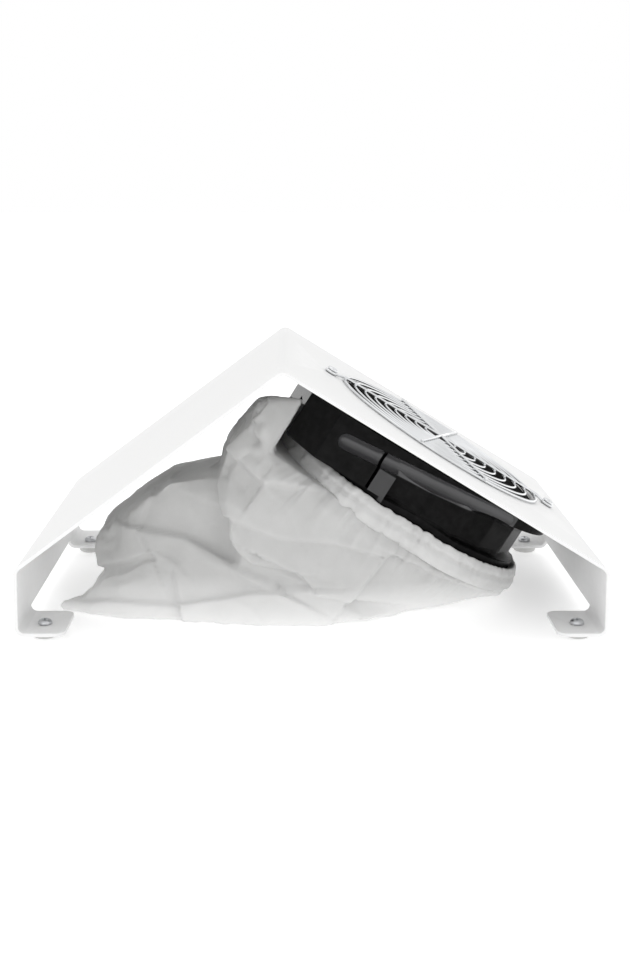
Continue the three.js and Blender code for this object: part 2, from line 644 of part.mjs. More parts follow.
function statorCore() {
  const plates = tube(TUBE_RADIUS + CLEARANCE, CORE_RADIUS, CORE_BOTTOM, CORE_TOP);
  const slots = [];
  for (let i = 0; i < CORE_SLOTS; i++) {
    const x = [CORE_RADIUS - CORE_SLOT_DEPTH, CORE_RADIUS + 1];
    const y = [-CORE_SLOT_WIDTH / 2, CORE_SLOT_WIDTH / 2];
    const slot = block(x, y, [CORE_BOTTOM - 1, CORE_TOP + 1]);
    slots.push(slot.rotate([0, 0, (360 * i) / CORE_SLOTS]));
  }
  return cut(plates, ...slots);
}

function winding(low, high) {
  const round = (high - low) * 0.3;
  return turned([
    [WINDING_INNER_RADIUS, low + round],
    [WINDING_INNER_RADIUS + round, low],
    [WINDING_OUTER_RADIUS - round, low],
    [WINDING_OUTER_RADIUS, low + round],
    [WINDING_OUTER_RADIUS, high - round],
    [WINDING_OUTER_RADIUS - round, high],
    [WINDING_INNER_RADIUS + round, high],
    [WINDING_INNER_RADIUS, high - round],
  ], 24);
}

function bush(low) {
  const hole = clearing(SHAFT_RADIUS + RUNNING_CLEARANCE, BUSH_SIDES);
  return tube(hole, BUSH_RADIUS, low, low + BUSH_LENGTH, BUSH_SIDES);
}

function addMotor(parent) {
  const shaftLow = FRAME_BOTTOM + 0.6;
  const clipTop = FRAME_BOTTOM + SEAT_RECESS - CLEARANCE;
  const clipInner = SHAFT_RADIUS + CLEARANCE;
  const shaft = rod(SHAFT_RADIUS, shaftLow, CUP_TOP, { sides: BUSH_SIDES });
  const coreBottom = CORE_BOTTOM - CLEARANCE;
  piece("stator_core", statorCore(), LAMINATION, parent);
  piece("winding_front", winding(CORE_TOP + CLEARANCE, FRONT_WINDING_TOP), COPPER, parent);
  piece("winding_rear", winding(coreBottom - REAR_WINDING_HEIGHT, coreBottom), COPPER, parent);
  piece("bearing_front", bush(TUBE_TOP - BUSH_LENGTH - 0.5), BRONZE, parent);
  piece("bearing_rear", bush(SEAT_TOP - SEAT_THICKNESS / 2 + CLEARANCE), BRONZE, parent);
  piece("shaft", shaft, STEEL, parent);
  piece("rotor_cup", rotorCup(), STEEL, parent);
  piece("impeller", impeller(), BLACK_BLADE, parent);
  const clip = tube(clipInner, clipInner + CIRCLIP_WIDTH, clipTop - CIRCLIP_THICKNESS, clipTop, 24);
  piece("circlip", clip, STEEL, parent);
}

// ---------- terminals ----------

const terminalY = -FAN_HALF_WIDTH / 3;
const terminalLow = RIM_TOP + TERMINAL_RISE;
const terminalFace = -HOUSING_REACH + TERMINAL_SETBACK;

function addTerminals(parent) {
  const inner = -HOUSING_REACH + TERMINAL_DEPTH;
  const half = TERMINAL_LENGTH / 2;
  const high = terminalLow + TERMINAL_HEIGHT;
  const middle = (terminalLow + high) / 2;
  const { width, thickness, length, spacing } = BLADE_TERMINAL;
  let body = block([terminalFace, inner], [terminalY - half, terminalY + half], [terminalLow, high]);
  ["live", "neutral"].forEach((name, i) => {
    const y = terminalY + (i - 0.5) * spacing;
    const spread = (extra, size) => [y - size / 2 - extra, y + size / 2 + extra];
    const rise = (extra) => [middle - width / 2 - extra, middle + width / 2 + extra];
    const root = inner - TERMINAL_ROOT;
    const hole = block([terminalFace - 1, root + CLEARANCE], spread(CLEARANCE, thickness), rise(CLEARANCE));
    body = cut(body, hole);
    const tab = block([terminalFace - length, root], spread(0, thickness), rise(0));
    piece("terminal_" + name, tab, TIN, parent);
  });
  piece("terminal_block", body, BLACK_PLASTIC, parent);
}

// ---------- finger guard ----------

function wireRing(radius, wire, height, sides, x = 0) {
  const torus = new THREE.TorusGeometry(radius, wire, 5, sides);
  return solid(torus.translate(x, 0, height));
}

function wireRod(halfLength, angle, height) {
  const bar = new THREE.CylinderGeometry(GUARD_ROD_WIRE, GUARD_ROD_WIRE, 2 * halfLength, 6);
  return solid(bar.rotateZ(angle + Math.PI / 2).translate(0, 0, height));
}

// A short straight wire along the slope between two points, which joins a rod to its lower eyelet.
function wireLink(fromX, fromHeight, toX, toHeight) {
  const ends = [[fromX, fromHeight], [toX, toHeight]].map(([x, height]) =>
    solid(new THREE.SphereGeometry(GUARD_ROD_WIRE, 8, 6).translate(x, 0, height)),
  );
  return wasm.Manifold.hull(ends);
}

const guardRingHeight = GUARD_RING_WIRE + CLEARANCE;
const guardRodHeight = guardRingHeight + GUARD_RING_WIRE + GUARD_ROD_WIRE - WELD_DEPTH;
const eyeletHeight = GUARD_ROD_WIRE + CLEARANCE;

function fingerGuard() {
  const rings = [];
  for (let i = 0; i < GUARD_RING_COUNT; i++) {
    const radius = GUARD_OUTER_RADIUS - i * GUARD_RING_PITCH;
    rings.push(wireRing(radius, GUARD_RING_WIRE, guardRingHeight, 12 + 3 * Math.round(radius / 9)));
  }
  const crossReach = GUARD_OUTER_RADIUS + GUARD_ROD_OVERHANG;
  const bend = GUARD_OUTER_RADIUS + GUARD_RING_WIRE;
  const rods = [
    wireRod(bend, 0, guardRodHeight),
    wireRod(crossReach, GUARD_ROD_ANGLE, guardRodHeight),
    wireRod(crossReach, -GUARD_ROD_ANGLE, guardRodHeight),
  ];
  const eyelets = [-1, 1].map((end) => {
    const eyeletStart = MOUNTING_RADIUS - EYELET_RADIUS;
    const link = wireLink(end * bend, guardRodHeight, end * eyeletStart, eyeletHeight);
    const loop = wireRing(EYELET_RADIUS, GUARD_ROD_WIRE, eyeletHeight, 12, end * MOUNTING_RADIUS);
    return loop.add(link);
  });
  return join(...rods, ...rings, ...eyelets);
}

function addGuard(parent) {
  piece("finger_guard", fingerGuard(), CHROME, parent);
  const headLow = eyeletHeight + GUARD_ROD_WIRE + CLEARANCE;
  const washerTop = FLANGE_BOTTOM - CLEARANCE;
  const nutTop = washerTop - WASHER_THICKNESS - CLEARANCE;
  const nutLow = nutTop - FAN_NUT_HEIGHT;
  for (const [name, end] of [["upper", -1], ["lower", 1]]) {
    const place = new THREE.Group();
    place.position.x = end * MOUNTING_RADIUS;
    parent.add(place);
    const screw = panScrew(GUARD_SCREW_HEAD_RADIUS, GUARD_SCREW_HEAD_HEIGHT, headLow - nutLow + 1.5);
    piece("guard_screw_" + name, screw, CHROME, place).position.z = headLow;
    const washer = tube(SCREW_HOLE_RADIUS, WASHER_RADIUS, washerTop - WASHER_THICKNESS, washerTop, 16);
    piece("guard_washer_" + name, washer, ZINC, place);
    piece("guard_nut_" + name, nut(FAN_NUT_HEIGHT), ZINC, place).position.z = nutLow;
  }
}

// ---------- dust bag ----------

// A ring that follows the outlet rim, gap away from it.
function rimRing(gap, thickness, low, high) {
  const wall = (extra) => flattenedCircle(OUTLET_RIM_RADIUS + extra, FAN_HALF_WIDTH + extra);
  return cut(prism(wall(gap + thickness), low, high), prism(wall(gap), low - 1, high + 1));
}

const elasticTop = RIM_TOP - CLEARANCE;
const hemTop = elasticTop - ELASTIC_WIDTH - CLEARANCE;
const hemBottom = hemTop - HEM_LENGTH;

// The space inside the folded sheet, from the table up, that the bag may fill.
function roomUnderSheet() {
  const corners = sheetCorners(SHEET_THICKNESS + BAG_CLEARANCE).slice(1, -1);
  corners[0].y = BAG_FLOOR_GAP;
  corners[corners.length - 1].y = BAG_FLOOR_GAP;
  const room = new THREE.ExtrudeGeometry(new THREE.Shape(corners), {
    depth: STAND_DEPTH,
    bevelEnabled: false,
  });
  return solid(room.rotateX(Math.PI / 2).translate(0, HALF_DEPTH, 0));
}

function dustBag() {
  const pillows = Object.values(BAG_PILLOWS).map((points) => wasm.Manifold.hull(points));
  const around = HEM_GAP + HEM_THICKNESS + BAG_CLEARANCE;
  const rim = flattenedCircle(OUTLET_RIM_RADIUS + around, FAN_HALF_WIDTH + around);
  const room = hemBottom - CLEARANCE - BAG_CLEARANCE;
  const outlet = prism(rim, room, FAN_DEPTH);
  const body = prism(housingShape(), room, FAN_DEPTH);
  const widened = body.scale([
    1 + (2 * BAG_CLEARANCE) / HOUSING_REACH,
    1 + (2 * BAG_CLEARANCE) / FAN_HALF_WIDTH,
    1,
  ]);
  const terminals = block(
    [terminalFace - BLADE_TERMINAL.length - BAG_CLEARANCE, -HOUSING_REACH],
    [terminalY - TERMINAL_LENGTH / 2, terminalY + TERMINAL_LENGTH / 2],
    [terminalLow - BAG_CLEARANCE, FAN_DEPTH],
  );
  const fanRoom = join(outlet, widened, terminals).transform(fanPlace.matrixWorld.elements);
  return cut(join(...pillows).intersect(roomUnderSheet()), fanRoom);
}

function addBag(parent, fanParent) {
  piece("dust_bag", dustBag(), BAG_CLOTH, parent);
  piece("bag_hem", rimRing(HEM_GAP, HEM_THICKNESS, hemBottom, hemTop), BAG_CLOTH, fanParent);
  const elastic = rimRing(HEM_GAP, ELASTIC_WIDTH, hemTop + CLEARANCE, elasticTop);
  piece("bag_elastic", elastic, BLACK_RUBBER, fanParent);
}

// ---------- assembly ----------

const collector = new THREE.Group();
const fanPlace = new THREE.Group();
fanPlace.rotation.y = FAN_SLOPE_ANGLE;
fanPlace.position.set(
  RIDGE_OFFSET + FAN_FROM_RIDGE * Math.cos(FAN_SLOPE_ANGLE),
  0,
  RIDGE_HEIGHT - FAN_FROM_RIDGE * Math.sin(FAN_SLOPE_ANGLE),
);
collector.add(fanPlace);
collector.updateMatrixWorld(true);

piece("stand_sheet", standSheet(), WHITE_COAT, collector);
addFeet(collector);
piece("fan_frame", fanFrame(), BLACK_CASTING, fanPlace);
piece("fan_gasket", gasket(), BLACK_RUBBER, fanPlace);
addMotor(fanPlace);
addTerminals(fanPlace);
addGuard(fanPlace);
addBag(collector, fanPlace);

export default collector;
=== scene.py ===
# %% [markdown]
# # A nail dust collector, from a folded sheet to a soft bag
#
# The machine is a white folded sheet that a hand rests on, with a fan hung under its right slope.
# The fan draws dust through a round wire guard and blows it into a cloth bag that an elastic hem
# holds on the fan. The measured model comes first and stays where it is. Each step then makes one
# piece or one finish.

# %% Load the measured model
import json
import math

import bmesh
import bpy
from mathutils import Matrix, Vector, noise


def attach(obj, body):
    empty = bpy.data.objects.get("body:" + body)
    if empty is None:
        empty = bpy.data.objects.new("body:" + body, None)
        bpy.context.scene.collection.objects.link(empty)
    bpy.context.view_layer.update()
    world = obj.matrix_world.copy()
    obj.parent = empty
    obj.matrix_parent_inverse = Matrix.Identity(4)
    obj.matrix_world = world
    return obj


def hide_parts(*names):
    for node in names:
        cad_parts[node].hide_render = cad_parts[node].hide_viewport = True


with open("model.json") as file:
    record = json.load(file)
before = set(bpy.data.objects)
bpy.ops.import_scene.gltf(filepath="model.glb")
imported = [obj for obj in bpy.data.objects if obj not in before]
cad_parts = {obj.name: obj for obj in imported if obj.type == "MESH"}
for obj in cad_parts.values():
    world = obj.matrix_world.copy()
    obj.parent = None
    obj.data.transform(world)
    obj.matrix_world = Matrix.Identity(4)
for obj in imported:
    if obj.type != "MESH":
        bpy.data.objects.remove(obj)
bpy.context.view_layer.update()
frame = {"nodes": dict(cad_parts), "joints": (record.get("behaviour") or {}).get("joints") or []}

# %% [markdown]
# ## The camera
#
# The machine is seen from in front, a little above its ridge, so that the fan shows under the slope
# and the guard is seen at a grazing angle. The camera is set first, because it decides how much
# detail each piece needs. The lens is slid down and a little to the left, as a view camera's is, so
# that the object sits below the middle of a tall frame while its upright edges stay nearly upright.

# %% Set up the camera
bpy.ops.object.select_all(action="DESELECT")
bpy.ops.object.camera_add(
    location=(-0.0111, -0.8168, 0.2634), rotation=(math.radians(90 - 7.04), 0, 0)
)
camera = bpy.context.object
camera.name = "camera"
camera.data.lens = 49.16
camera.data.sensor_width = 36
camera.data.shift_x = 0.0243
camera.data.shift_y = -0.15
bpy.context.scene.camera = camera
print("camera at", [round(x, 3) for x in camera.location])

# %% [markdown]
# ## The floor and the light
#
# The setting is a white table in a white room. A wide floor plane takes the soft shadow, the room
# itself is a plain white world, and three large soft lamps give the sheet its gentle gradient. A
# large lamp makes soft shadows because a point on the table sees part of it almost everywhere.

# %% Lay the floor
bpy.ops.object.select_all(action="DESELECT")
bpy.ops.mesh.primitive_plane_add(size=12, location=(0, 2, 0))
floor = bpy.context.object
floor.name = "floor"

floor_paint = bpy.data.materials.new("floor_paint")
floor_paint.use_nodes = True
floor_shader = floor_paint.node_tree.nodes["Principled BSDF"]
floor_shader.inputs["Base Color"].default_value = (0.93, 0.93, 0.93, 1)
floor_shader.inputs["Roughness"].default_value = 0.9
floor_shader.inputs["Specular IOR Level"].default_value = 0.1
floor_shader.inputs["Emission Color"].default_value = (1, 1, 1, 1)
floor_shader.inputs["Emission Strength"].default_value = 0.34
floor.data.materials.append(floor_paint)
print("floor", tuple(round(x, 2) for x in floor.dimensions))

# %% Light the room
room = bpy.data.worlds.new("white_room")
room.use_nodes = True
room.node_tree.nodes["Background"].inputs["Color"].default_value = (1, 1, 1, 1)
room.node_tree.nodes["Background"].inputs["Strength"].default_value = 1.0
bpy.context.scene.world = room
bpy.context.scene.view_settings.view_transform = "Standard"


def soft_lamp(name, place, aim, size, power):
    """A square lamp that points at aim."""
    bpy.ops.object.select_all(action="DESELECT")
    bpy.ops.object.light_add(type="AREA", location=place)
    lamp = bpy.context.object
    lamp.name = name
    lamp.data.size = size
    lamp.data.energy = power
    lamp.rotation_euler = (Vector(aim) - Vector(place)).to_track_quat("-Z", "Y").to_euler()
    return lamp


lamps = [
    soft_lamp("overhead_lamp", (0.0, 0.1, 1.9), (0, 0, 0), 1.6, 3),
    soft_lamp("front_lamp", (-0.5, -1.8, 0.7), (0, 0, 0.05), 1.2, 2),
    soft_lamp("right_lamp", (1.7, -0.5, 0.8), (0.05, 0, 0.05), 0.9, 1),
]
print(len(lamps), "lamps")

# %% [markdown]
# ## Where the fan sits
#
# The fan's axis is square to the right slope. Its hinge gives the point where the axis meets the
# slope and the way it points. One matrix leads from the fan's own directions (down the slope,
# across, out of the slope) to the directions of the row, so everything on the fan can be drawn
# level and then put in its place.

# %% Find the fan's place
HINGE = frame["joints"][0]
FAN_AXIS = Vector(HINGE["axis"]).normalized()
FAN_ACROSS = Vector((0, 1, 0))
FAN_DOWN = FAN_ACROSS.cross(FAN_AXIS)
FAN_TURN = Matrix((FAN_DOWN, FAN_ACROSS, FAN_AXIS)).transposed().to_4x4()
FAN_PLACE = Matrix.Translation(Vector(HINGE["pos_m"])) @ FAN_TURN
TO_FAN = FAN_PLACE.inverted()
SCREW_AT = 81  # millimetres from the fan's axis to each guard screw
print("fan at", [round(x, 4) for x in FAN_PLACE.translation])

# %% [markdown]
# ## Effects that several finishes share
#
# Powder coat, cast paint, rubber and metal differ mostly in how coarse their skin is and how much
# edges and upward faces differ from the rest. Each effect is built once as a node group with named
# inputs and outputs, and every material places it with its own numbers. The groups read Object
# coordinates, so a pattern keeps its real size in metres and stays fixed on the piece.

# %% Start a node group
def object_place(tree):
    """The Object coordinates of a tree, in metres on the piece itself."""
    return tree.nodes.new("ShaderNodeTexCoord").outputs["Object"]


def fan_coordinates(tree):
    """Object coordinates in the fan's own directions, measured from its hinge."""
    node = tree.nodes.new("ShaderNodeMapping")
    node.vector_type = "TEXTURE"
    node.inputs["Location"].default_value = FAN_PLACE.translation
    node.inputs["Rotation"].default_value = FAN_PLACE.to_euler()
    tree.links.new(object_place(tree), node.inputs["Vector"])
    return node.outputs["Vector"]


def axes_of(tree, vector):
    """The three sockets X, Y and Z of a vector."""
    node = tree.nodes.new("ShaderNodeSeparateXYZ")
    tree.links.new(vector, node.inputs[0])
    return node.outputs


def new_group(name, inputs, outputs):
    """An empty shader group: the tree, its inputs, its outputs and its object coordinates."""
    group = bpy.data.node_groups.new(name, "ShaderNodeTree")
    for socket, value in inputs.items():
        made = group.interface.new_socket(socket, in_out="INPUT", socket_type="NodeSocketFloat")
        made.default_value = value
    for socket in outputs:
        group.interface.new_socket(socket, in_out="OUTPUT", socket_type="NodeSocketFloat")
    start = group.nodes.new("NodeGroupInput")
    end = group.nodes.new("NodeGroupOutput")
    return group, start.outputs, end.inputs, object_place(group)


def feed(tree, socket, value):
    """Gives a socket its value: another socket, a number, or red, green and blue."""
    if isinstance(value, bpy.types.NodeSocket):
        tree.links.new(value, socket)
    elif isinstance(value, tuple):
        socket.default_value = (*value, 1)
    else:
        socket.default_value = value


def number_node(tree, operation, *values, clamp=False):
    """A Math node whose inputs are sockets or plain numbers."""
    node = tree.nodes.new("ShaderNodeMath")
    node.operation = operation
    node.use_clamp = clamp
    for socket, value in zip(node.inputs, values):
        feed(tree, socket, value)
    return node.outputs[0]


def noise_node(tree, place, scale, detail=3.0, roughness=0.5):
    """A Noise texture on the given coordinates; scale is a number or a socket."""
    node = tree.nodes.new("ShaderNodeTexNoise")
    settings = {"Vector": place, "Scale": scale, "Detail": detail, "Roughness": roughness}
    for socket, value in settings.items():
        feed(tree, node.inputs[socket], value)
    return node.outputs["Fac"]


# %% Group: skin grain
# The fine bumps of a sprayed or moulded skin, and slow patches of tone. Grain is the bumps per
# metre.
skin, skin_in, skin_out, skin_place = new_group(
    "skin_grain", {"Grain": 900.0, "Patches": 12.0}, ["Height", "Tone"]
)
bumps = noise_node(skin, skin_place, skin_in["Grain"], detail=2)
patches = noise_node(skin, skin_place, skin_in["Patches"], detail=4)
skin.links.new(bumps, skin_out["Height"])
skin.links.new(patches, skin_out["Tone"])
print("group", skin.name)

# %% Group: edge light
# Paint is thinner on an edge and wears paler there, and the paler edge also stands in for the light
# an edge
# catches: partly wear, partly a painted highlight. Pointiness tells how sharply the surface turns.
edge, edge_in, edge_out, edge_place = new_group(
    "edge_light", {"Reach": 0.04, "Uneven": 220.0}, ["Mask"]
)
turn = edge.nodes.new("ShaderNodeNewGeometry")
rise = number_node(edge, "SUBTRACT", turn.outputs["Pointiness"], 0.5)
sharp = number_node(edge, "DIVIDE", rise, edge_in["Reach"], clamp=True)
ragged = noise_node(edge, edge_place, edge_in["Uneven"])
mask = number_node(edge, "MULTIPLY", sharp, ragged, clamp=True)
edge.links.new(mask, edge_out["Mask"])
print("group", edge.name)

# %% Group: settled dust
# Fine pale nail dust lies in thin patches on whatever faces up. The mask is strongest on level
# faces.
dust, dust_in, dust_out, dust_place = new_group(
    "settled_dust", {"Amount": 0.3, "Patches": 30.0}, ["Mask"]
)
facing = dust.nodes.new("ShaderNodeNewGeometry")
level = axes_of(dust, facing.outputs["Normal"])["Z"]
upward = number_node(dust, "MULTIPLY", level, dust_in["Amount"], clamp=True)
drift = noise_node(dust, dust_place, dust_in["Patches"], detail=6)
fine = noise_node(dust, dust_place, 1400.0, detail=1)
speckled = number_node(dust, "MULTIPLY", drift, fine)
settled = number_node(dust, "MULTIPLY", upward, speckled, clamp=True)
dust.links.new(settled, dust_out["Mask"])
print("group", dust.name)

# %% Group: cloth fibre
# The bag is bonded fibre, not woven thread: short fibres lie in every direction with thin and thick
# patches.
fibre, fibre_in, fibre_out, fibre_place = new_group(
    "cloth_fibre", {"Fibres": 700.0, "Clouds": 60.0}, ["Height", "Tone"]
)
stretched = fibre.nodes.new("ShaderNodeMapping")
stretched.inputs["Scale"].default_value = (1.0, 1.0, 0.35)
fibre.links.new(fibre_place, stretched.inputs["Vector"])
strands = noise_node(fibre, stretched.outputs["Vector"], fibre_in["Fibres"], 4, 0.7)
clouds = noise_node(fibre, fibre_place, fibre_in["Clouds"], 5, 0.6)
both = number_node(fibre, "MULTIPLY_ADD", clouds, 0.5, strands)
fibre.links.new(both, fibre_out["Height"])
fibre.links.new(clouds, fibre_out["Tone"])
print("group", fibre.name)

# %% [markdown]
# ## The finishes
#
# Every finish starts from a Principled shader. Numbers that are the same all over sit on its own
# sockets. What varies over the surface comes from the groups: two close colours mixed by tone, a
# roughness that wanders, and a bump height of a real size in metres.

# %% Start a finish
def set_sockets(tree, shader, **sockets):
    """Gives several of a shader's sockets their values; a _ in a name stands for a space."""
    for socket, value in sockets.items():
        feed(tree, shader.inputs[socket.replace("_", " ")], value)


def new_finish(name, roughness, metallic=0.0, **sockets):
    """A material with a Principled shader and its even values."""
    material = bpy.data.materials.new(name)
    material.use_nodes = True
    tree = material.node_tree
    shader = tree.nodes["Principled BSDF"]
    set_sockets(tree, shader, Roughness=roughness, Metallic=metallic, **sockets)
    return material, tree, shader


def place_group(tree, group, **values):
    """One use of a group in a material, with its own numbers."""
    node = tree.nodes.new("ShaderNodeGroup")
    node.node_tree = group
    for socket, value in values.items():
        node.inputs[socket].default_value = value
    return node.outputs


def two_colours(tree, factor, first, second):
    """A Mix node between two colours, which are sockets or red, green and blue."""
    mix = tree.nodes.new("ShaderNodeMix")
    mix.data_type = "RGBA"
    for socket, value in (("Factor", factor), ("A", first), ("B", second)):
        feed(tree, mix.inputs[socket], value)
    return mix.outputs["Result"]


def between(tree, factor, low, high):
    """A number that goes from low to high as factor goes from 0 to 1."""
    return number_node(tree, "MULTIPLY_ADD", factor, high - low, low)


def bump(tree, shader, height, distance):
    """Raises the surface by up to distance metres where height is 1."""
    node = tree.nodes.new("ShaderNodeBump")
    node.inputs["Distance"].default_value = distance
    node.inputs["Strength"].default_value = 1.0
    tree.links.new(height, node.inputs["Height"])
    tree.links.new(node.outputs["Normal"], shader.inputs["Normal"])


# %% Painted finishes: white powder coat, black impeller paint, plastic and rubber
DUST_COLOUR = (0.62, 0.60, 0.58)


def painted(name, dark, light, edge_wear_and_highlight, rough, grain, depth, reach=0.05, patches=12.0, dusty=0.0):
    """A skin that wanders between two close colours, turns paler on edges and may hold dust."""
    material, tree, shader = new_finish(name, rough[0])
    coat = place_group(tree, skin, Grain=grain, Patches=patches)
    edges = place_group(tree, edge, Reach=reach)
    colour = two_colours(tree, coat["Tone"], dark, light)
    # Edges turn paler: partly wear, partly a painted highlight.
    colour = two_colours(tree, edges["Mask"], colour, edge_wear_and_highlight)
    if dusty:
        film = place_group(tree, dust, Amount=dusty)
        colour = two_colours(tree, film["Mask"], colour, DUST_COLOUR)
    set_sockets(tree, shader, Base_Color=colour, Roughness=between(tree, coat["Tone"], *rough))
    bump(tree, shader, coat["Height"], depth)
    return material


WHITE_COAT = painted(
    "white_coat", (0.77, 0.77, 0.765), (0.80, 0.80, 0.80), (0.85, 0.85, 0.85),
    (0.42, 0.52), 700.0, 0.00003, patches=9.0,
)
IMPELLER_BLACK = painted(
    "impeller_black", (0.012, 0.012, 0.013), (0.020, 0.020, 0.021), (0.09, 0.09, 0.09),
    (0.36, 0.48), 600.0, 0.00003, reach=0.06, dusty=0.35,
)
TERMINAL_PLASTIC = painted(
    "terminal_plastic", (0.022, 0.022, 0.023), (0.034, 0.034, 0.035), (0.06, 0.06, 0.06),
    (0.45, 0.58), 1500.0, 0.00002,
)
PALE_RUBBER = painted(
    "pale_rubber", (0.50, 0.50, 0.49), (0.58, 0.58, 0.57), (0.64, 0.64, 0.63),
    (0.70, 0.85), 1200.0, 0.00006,
)
print("painted finishes made")

# %% The casting's black paint
# Black paint shows little but what it reflects. In the lead grooves and on the ribs it is glossier,
# and its colour is painted a little paler there as a painted highlight. The mask measures from the
# fan's axis, because the grooves lie along the fan.
GROOVE_TILT, GROOVE_DROP = 0.0928, 0.01514  # slope of the groove's middle, and its drop at the axis
GROOVE_HALF, GROOVE_END, GROOVE_FACE = 0.0056, -0.0662, 0.0747
RIB_FROM, RIB_TO, RIB_FACE, RIB_TOP = -0.0352, -0.0238, 0.0742, -0.0235
OUTSIDE = 0.0690  # everything nearer the axis keeps the plain paint

BLACK_CASTING, paint_tree, paint_shader = new_finish("black_casting", 0.25, IOR=1.38)
coat = place_group(paint_tree, skin, Grain=500.0, Patches=14.0)
edges = place_group(paint_tree, edge, Reach=0.06)
paint = two_colours(paint_tree, coat["Tone"], (0.0018, 0.0018, 0.0019), (0.0035, 0.0035, 0.0035))
# Edges are painted paler: partly wear, partly a painted highlight.
paint = two_colours(paint_tree, edges["Mask"], paint, (0.014, 0.014, 0.014))
along, across, out = axes_of(paint_tree, fan_coordinates(paint_tree))


def ramp(value, start, rise):
    """0 below start, then up to 1 within rise metres; a negative rise goes the other way."""
    return number_node(paint_tree, "MULTIPLY_ADD", value, 1 / rise, -start / rise, clamp=True)


def product(first, *others):
    """Masks multiplied together: 1 only where all of them are 1."""
    for other in others:
        first = number_node(paint_tree, "MULTIPLY", first, other)
    return first


lean = number_node(paint_tree, "MULTIPLY_ADD", along, -GROOVE_TILT, GROOVE_DROP)
off_groove = number_node(
    paint_tree, "ABSOLUTE", number_node(paint_tree, "ADD", out, lean)
)
aside = number_node(paint_tree, "ABSOLUTE", across)
in_groove = product(
    ramp(off_groove, GROOVE_HALF, -0.0008), ramp(aside, GROOVE_FACE, -0.0002),
    ramp(along, GROOVE_END, 0.0004),
)
on_rib = product(
    ramp(along, RIB_FROM, 0.0003), ramp(along, RIB_TO, -0.0003),
    ramp(aside, RIB_FACE, 0.0002), ramp(out, RIB_TOP, -0.0005),
)
either = number_node(paint_tree, "MULTIPLY_ADD", on_rib, 0.6, in_groove, clamp=True)
gloss_and_painted_highlight = product(either, ramp(aside, OUTSIDE, 0.0005))
# Where the mask is 1 the paint is glossier, and its colour is painted paler as a painted highlight.
set_sockets(
    paint_tree, paint_shader,
    Base_Color=two_colours(paint_tree, gloss_and_painted_highlight, paint, (0.050, 0.050, 0.052)),
    Specular_IOR_Level=between(paint_tree, gloss_and_painted_highlight, 0.05, 1.0),
    Roughness=between(paint_tree, gloss_and_painted_highlight, 0.26, 0.14),
)
bump(paint_tree, paint_shader, coat["Height"], 0.00002)
print("casting paint made")

# %% Metal finishes: chrome, zinc, steel, tin and bronze
def metal(name, dark, light, rough, grain=1200.0, depth=0.000008, patches=60.0):
    """Bare or plated metal: nearly even in colour, with fine marks and a roughness that wanders."""
    material, tree, shader = new_finish(name, rough[0], metallic=1.0)
    face = place_group(tree, skin, Grain=grain, Patches=patches)
    colour = two_colours(tree, face["Tone"], dark, light)
    set_sockets(tree, shader, Base_Color=colour, Roughness=between(tree, face["Tone"], *rough))
    bump(tree, shader, face["Height"], depth)
    return material


GUARD_CHROME = metal(
    "guard_chrome", (0.62, 0.63, 0.64), (0.80, 0.81, 0.82), (0.06, 0.16), grain=400.0
)
ZINC = metal("zinc", (0.46, 0.47, 0.49), (0.66, 0.67, 0.68), (0.28, 0.42), patches=200.0)
STEEL = metal("steel", (0.40, 0.41, 0.42), (0.52, 0.53, 0.54), (0.26, 0.42), patches=90.0)
TIN = metal("tin", (0.60, 0.61, 0.62), (0.72, 0.73, 0.74), (0.22, 0.34))
BRONZE = metal(
    "bronze", (0.33, 0.20, 0.09), (0.50, 0.34, 0.17), (0.38, 0.55), grain=2500.0, depth=0.00003
)
print("metal finishes made")

# %% Foam, laminations and copper: patterns that follow the way each is made
WAVE_LENGTH = 0.314  # metres from crest to crest of a Wave texture at scale 1


def banded(name, spacing, pattern, dark, light, roughness, depth):
    """Layers or turns as waves: BANDS are stacked along the fan's axis, RINGS wound round it."""
    material, tree, shader = new_finish(name, roughness, metallic=0.8)
    wave = tree.nodes.new("ShaderNodeTexWave")
    wave.wave_type = pattern
    wave.rings_direction = wave.bands_direction = "Z"
    wave.inputs["Scale"].default_value = WAVE_LENGTH / spacing
    wave.inputs["Distortion"].default_value = 0.6
    wave.inputs["Detail Scale"].default_value = 3.0
    tree.links.new(fan_coordinates(tree), wave.inputs["Vector"])
    set_sockets(tree, shader, Base_Color=two_colours(tree, wave.outputs["Fac"], dark, light))
    bump(tree, shader, wave.outputs["Fac"], depth)
    return material


COPPER = banded(
    "copper_windings", 0.0006, "RINGS", (0.20, 0.06, 0.025), (0.58, 0.25, 0.11), 0.35, 0.0001
)
LAMINATIONS = banded(
    "laminations", 0.0010, "BANDS", (0.10, 0.10, 0.11), (0.26, 0.27, 0.28), 0.5, 0.00005
)

GASKET_FOAM, foam_tree, foam_shader = new_finish("gasket_foam", 0.92)
cells = foam_tree.nodes.new("ShaderNodeTexVoronoi")
cells.inputs["Scale"].default_value = 1600.0
foam_tree.links.new(object_place(foam_tree), cells.inputs["Vector"])
cell = cells.outputs["Distance"]
foam_colour = two_colours(foam_tree, cell, (0.006, 0.006, 0.006), (0.03, 0.03, 0.03))
set_sockets(foam_tree, foam_shader, Base_Color=foam_colour)
bump(foam_tree, foam_shader, cell, 0.0003)
print("foam, laminations and copper made")

# %% Cloth: the bag and its hem
# Thin cloth near the white table is painted paler, a painted glow standing in for the light the
# table throws up through it. GLOW_FALL says how fast that fades: glow counts in full under 4 mm and
# is gone at 27 mm.
GLOW_FALL, GLOW_START = -45.0, 1.2


